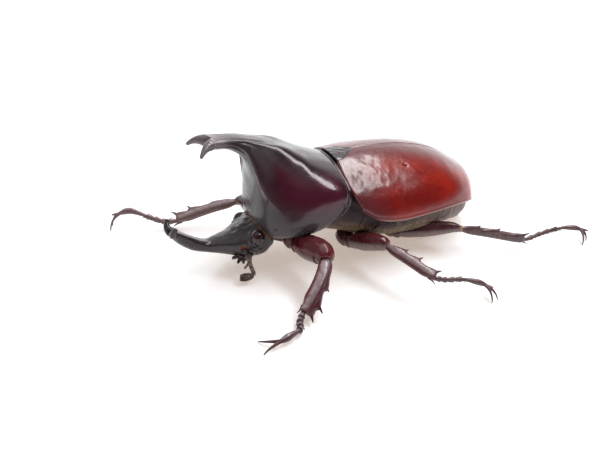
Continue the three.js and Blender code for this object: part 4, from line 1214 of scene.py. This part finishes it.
def bristles(name, grid, normals, weight, style, finish):
    # roots are drawn by weight and area; each needle has four rings of three corners and a point, and bends
    # down along the skin; a tuft shares one small patch at its root on the unwrapped skin
    rows, around = weight.shape
    down = np.gradient(grid, axis=0)
    across = (np.roll(grid, -1, 1) - np.roll(grid, 1, 1)) / 2
    share = (weight * np.linalg.norm(np.cross(down, across), axis=-1)).ravel()
    row, column = np.divmod(chance.choice(rows * around, style["tufts"], p=share / share.sum()), around)
    strands = hair["strands"]
    count = style["tufts"] * strands
    up, away, side, root = (np.repeat(part[row, column], strands, 0)
                            for part in (normals, unit(down), unit(across), grid))
    heading = away * style["flow"][0] + side * style["flow"][1] + chance.normal(0, 0.28, (count, 3))
    heading = unit(heading - up * (heading * up).sum(1, keepdims=True))
    reach = chance.uniform(*style["length"], (count, 1, 1))
    jitter = chance.normal(0, style["spread"] / 2, (count, 2))
    root = root + away * jitter[:, :1] + side * jitter[:, 1:] - up * 0.04
    t = np.array([0, 0.3, 0.6, 0.85, 1.0])[None, :, None]
    rise = 0.04 + reach * 0.45 * t * (1 - 0.75 * t)
    line = root[:, None] + heading[:, None] * reach * t + up[:, None] * rise
    angle = turns(3)[None, :, None]
    ring = np.cross(up, heading)[:, None] * np.cos(angle) + up[:, None] * np.sin(angle)
    thick = style["radius"] * np.array([1.0, 0.85, 0.6, 0.35])
    rings = line[:, :4, None] + ring[:, None] * thick[None, :, None, None]
    points = np.concatenate([rings.reshape(count, 12, 3), line[:, 4:]], 1).reshape(-1, 3)
    corner = np.arange(3)
    needle = gridQuads(4, 3, True), np.vstack([fan(corner[::-1] + 9, 12), [[0, 2, 1]]])
    start = 13 * np.arange(count)[:, None, None]
    shell = outward(points, [(block[None] + start).reshape(-1, block.shape[1]) for block in needle])
    home = np.stack([column / around, row / (rows - 1)], -1)[:, None, None]
    strand = np.arange(strands)[None, :, None] / strands
    ups = np.append(np.repeat(t[0, :4, 0], 3), 1)[None, None]
    wide = np.append(np.tile(corner / 3, 4), 0.5)[None, None]
    inPatch = np.stack([strand + 0.8 * wide / strands + 0 * ups, ups + 0 * strand], -1)
    patches = (home + hair["patch"] * inPatch).reshape(-1, 2)
    addPiece(name, shell, [], "underside", finish, patches=patches)


def buildHair():
    # a fringe where the head leaves the shield, down on the trunk's flanks, a brush at each side of the mouth
    part, partNormals = headGrid[:120:2, ::2], headNormals[:120:2, ::2]
    gap = clearance(part, shieldGrid[::4, ::4], shieldNormals[::4, ::4])
    bristles("neckFringe", part, partNormals, hill(gap, 0.03, 0.05), hair["fringe"], "amberHair")
    x, y, z = np.moveaxis(trunkSkin, -1, 0)
    flank = hill(z, -12.4, 1.6) * (1 - smooth(x, 12, 20)) * (np.abs(y) > 3)
    bristles("flankHair", trunkSkin, surfaceNormals(trunkSkin), flank, hair["flank"], "beigeHair")
    for name, side in sides:
        spots = [(-18.0, 3.6, -14.1), (-16.4, 3.6, -16.4)] * mirrored(side)
        near = sum(hill(np.linalg.norm(part - spot, axis=-1), 0, 0.22) for spot in spots)
        bristles(f"mouthBrush_{name}", part, partNormals, near, hair["brush"], "orangeHair")


buildHair()
print("bristles set")

studio = {
    "azimuth": 23.2, "elevation": 33.8, "distance": 343.8, "aim": (-10.9, -3.8, 7.3), "lens": 111.76,
    "room": 0.07, "haze": 0.7, "backWall": 1.3, "ceiling": 0.9, "leftWall": 0.35, "tint": (1.0, 0.985, 0.975),
    "paper": (0.72, 0.80, 0.86), "paperGlow": (0.44, 0.36, 0.305), "paperSize": 8.0,
    "strip": (160, 62, 330), "stripSize": (88, 560), "stripPower": 1.95,
}


def addCamera():
    # it stands off from its aim by a distance along the azimuth and elevation, and looks back
    az, el = math.radians(studio["azimuth"]), math.radians(studio["elevation"])
    away = np.array([-math.sin(az) * math.cos(el), -math.cos(az) * math.cos(el), math.sin(el)])
    camera = placed("camera", bpy.data.cameras.new("camera"))
    camera.data.lens = studio["lens"]
    camera.data.clip_start, camera.data.clip_end = 0.01, 10
    camera.location = (np.array(studio["aim"]) + away * studio["distance"]) * mm
    camera.rotation_euler = (pi / 2 - el, 0, -az)
    bpy.context.scene.camera = camera


def addStrip():
    # a long strip light that points straight down
    lamp = bpy.data.lights.new("stripBox", "AREA")
    lamp.shape = "RECTANGLE"
    lamp.size, lamp.size_y = np.array(studio["stripSize"]) * mm
    lamp.energy = studio["stripPower"]
    placed("stripBox", lamp).location = np.array(studio["strip"]) * mm


def addFloor():
    # one square of paper that glows a little, so that it stays near white
    corners = np.array([(-1, -1, 0), (1, -1, 0), (1, 1, 0), (-1, 1, 0)]) * studio["paperSize"] / 2
    mesh = bpy.data.meshes.new("floor")
    mesh.from_pydata(corners.tolist(), [], [(0, 1, 2, 3)])
    paper = Finish("paper", {"Base Color": (*studio["paper"], 1), "Roughness": 0.9, "Specular IOR Level": 0.1,
                             "Emission Color": (*studio["paperGlow"], 1), "Emission Strength": 1.0})
    mesh.materials.append(paper.material)
    placed("floor", mesh)


def addAir():
    # a white wall behind, a paler one at the left and a ceiling; the open front and the right are dim
    world = bpy.data.worlds.new("studioAir")
    world.use_nodes = True
    bpy.context.scene.world = world
    air = Finish("air", {})
    air.tree = world.node_tree
    heading = air.node("TexCoord", output="Generated")
    az = math.radians(studio["azimuth"])

    def towards(x, y):
        return air.node("VectorMath", {"operation": "DOT_PRODUCT"}, {0: heading, 1: (x, y, 0)}, "Value")
    height = air.node("SeparateXYZ", {}, {0: heading}, "Z")
    back = air.step(towards(math.sin(az), math.cos(az)), 0.3, 0.95) * air.step(height, 0.25, 0.65, 1.0, 0.45)
    left = air.step(towards(-math.cos(az), math.sin(az)), 0.3, 0.9)
    strength = studio["room"] + back * studio["backWall"] + left * studio["leftWall"]
    strength = strength + air.step(height, 0.65, 0.98) * studio["ceiling"]
    front = air.step(towards(-math.sin(az), -math.cos(az)), 0.2, 0.9, 1.0, 0.15)
    strength = strength + air.step(height, 0.0, 0.26, studio["haze"], 0.0) * front
    air.fill(world.node_tree.nodes["Background"], {"Color": (*studio["tint"], 1), "Strength": strength})


addCamera()
addFloor()
addAir()
addStrip()
bpy.context.scene.view_settings.view_transform = "Standard"
print("floor, lights and camera set")
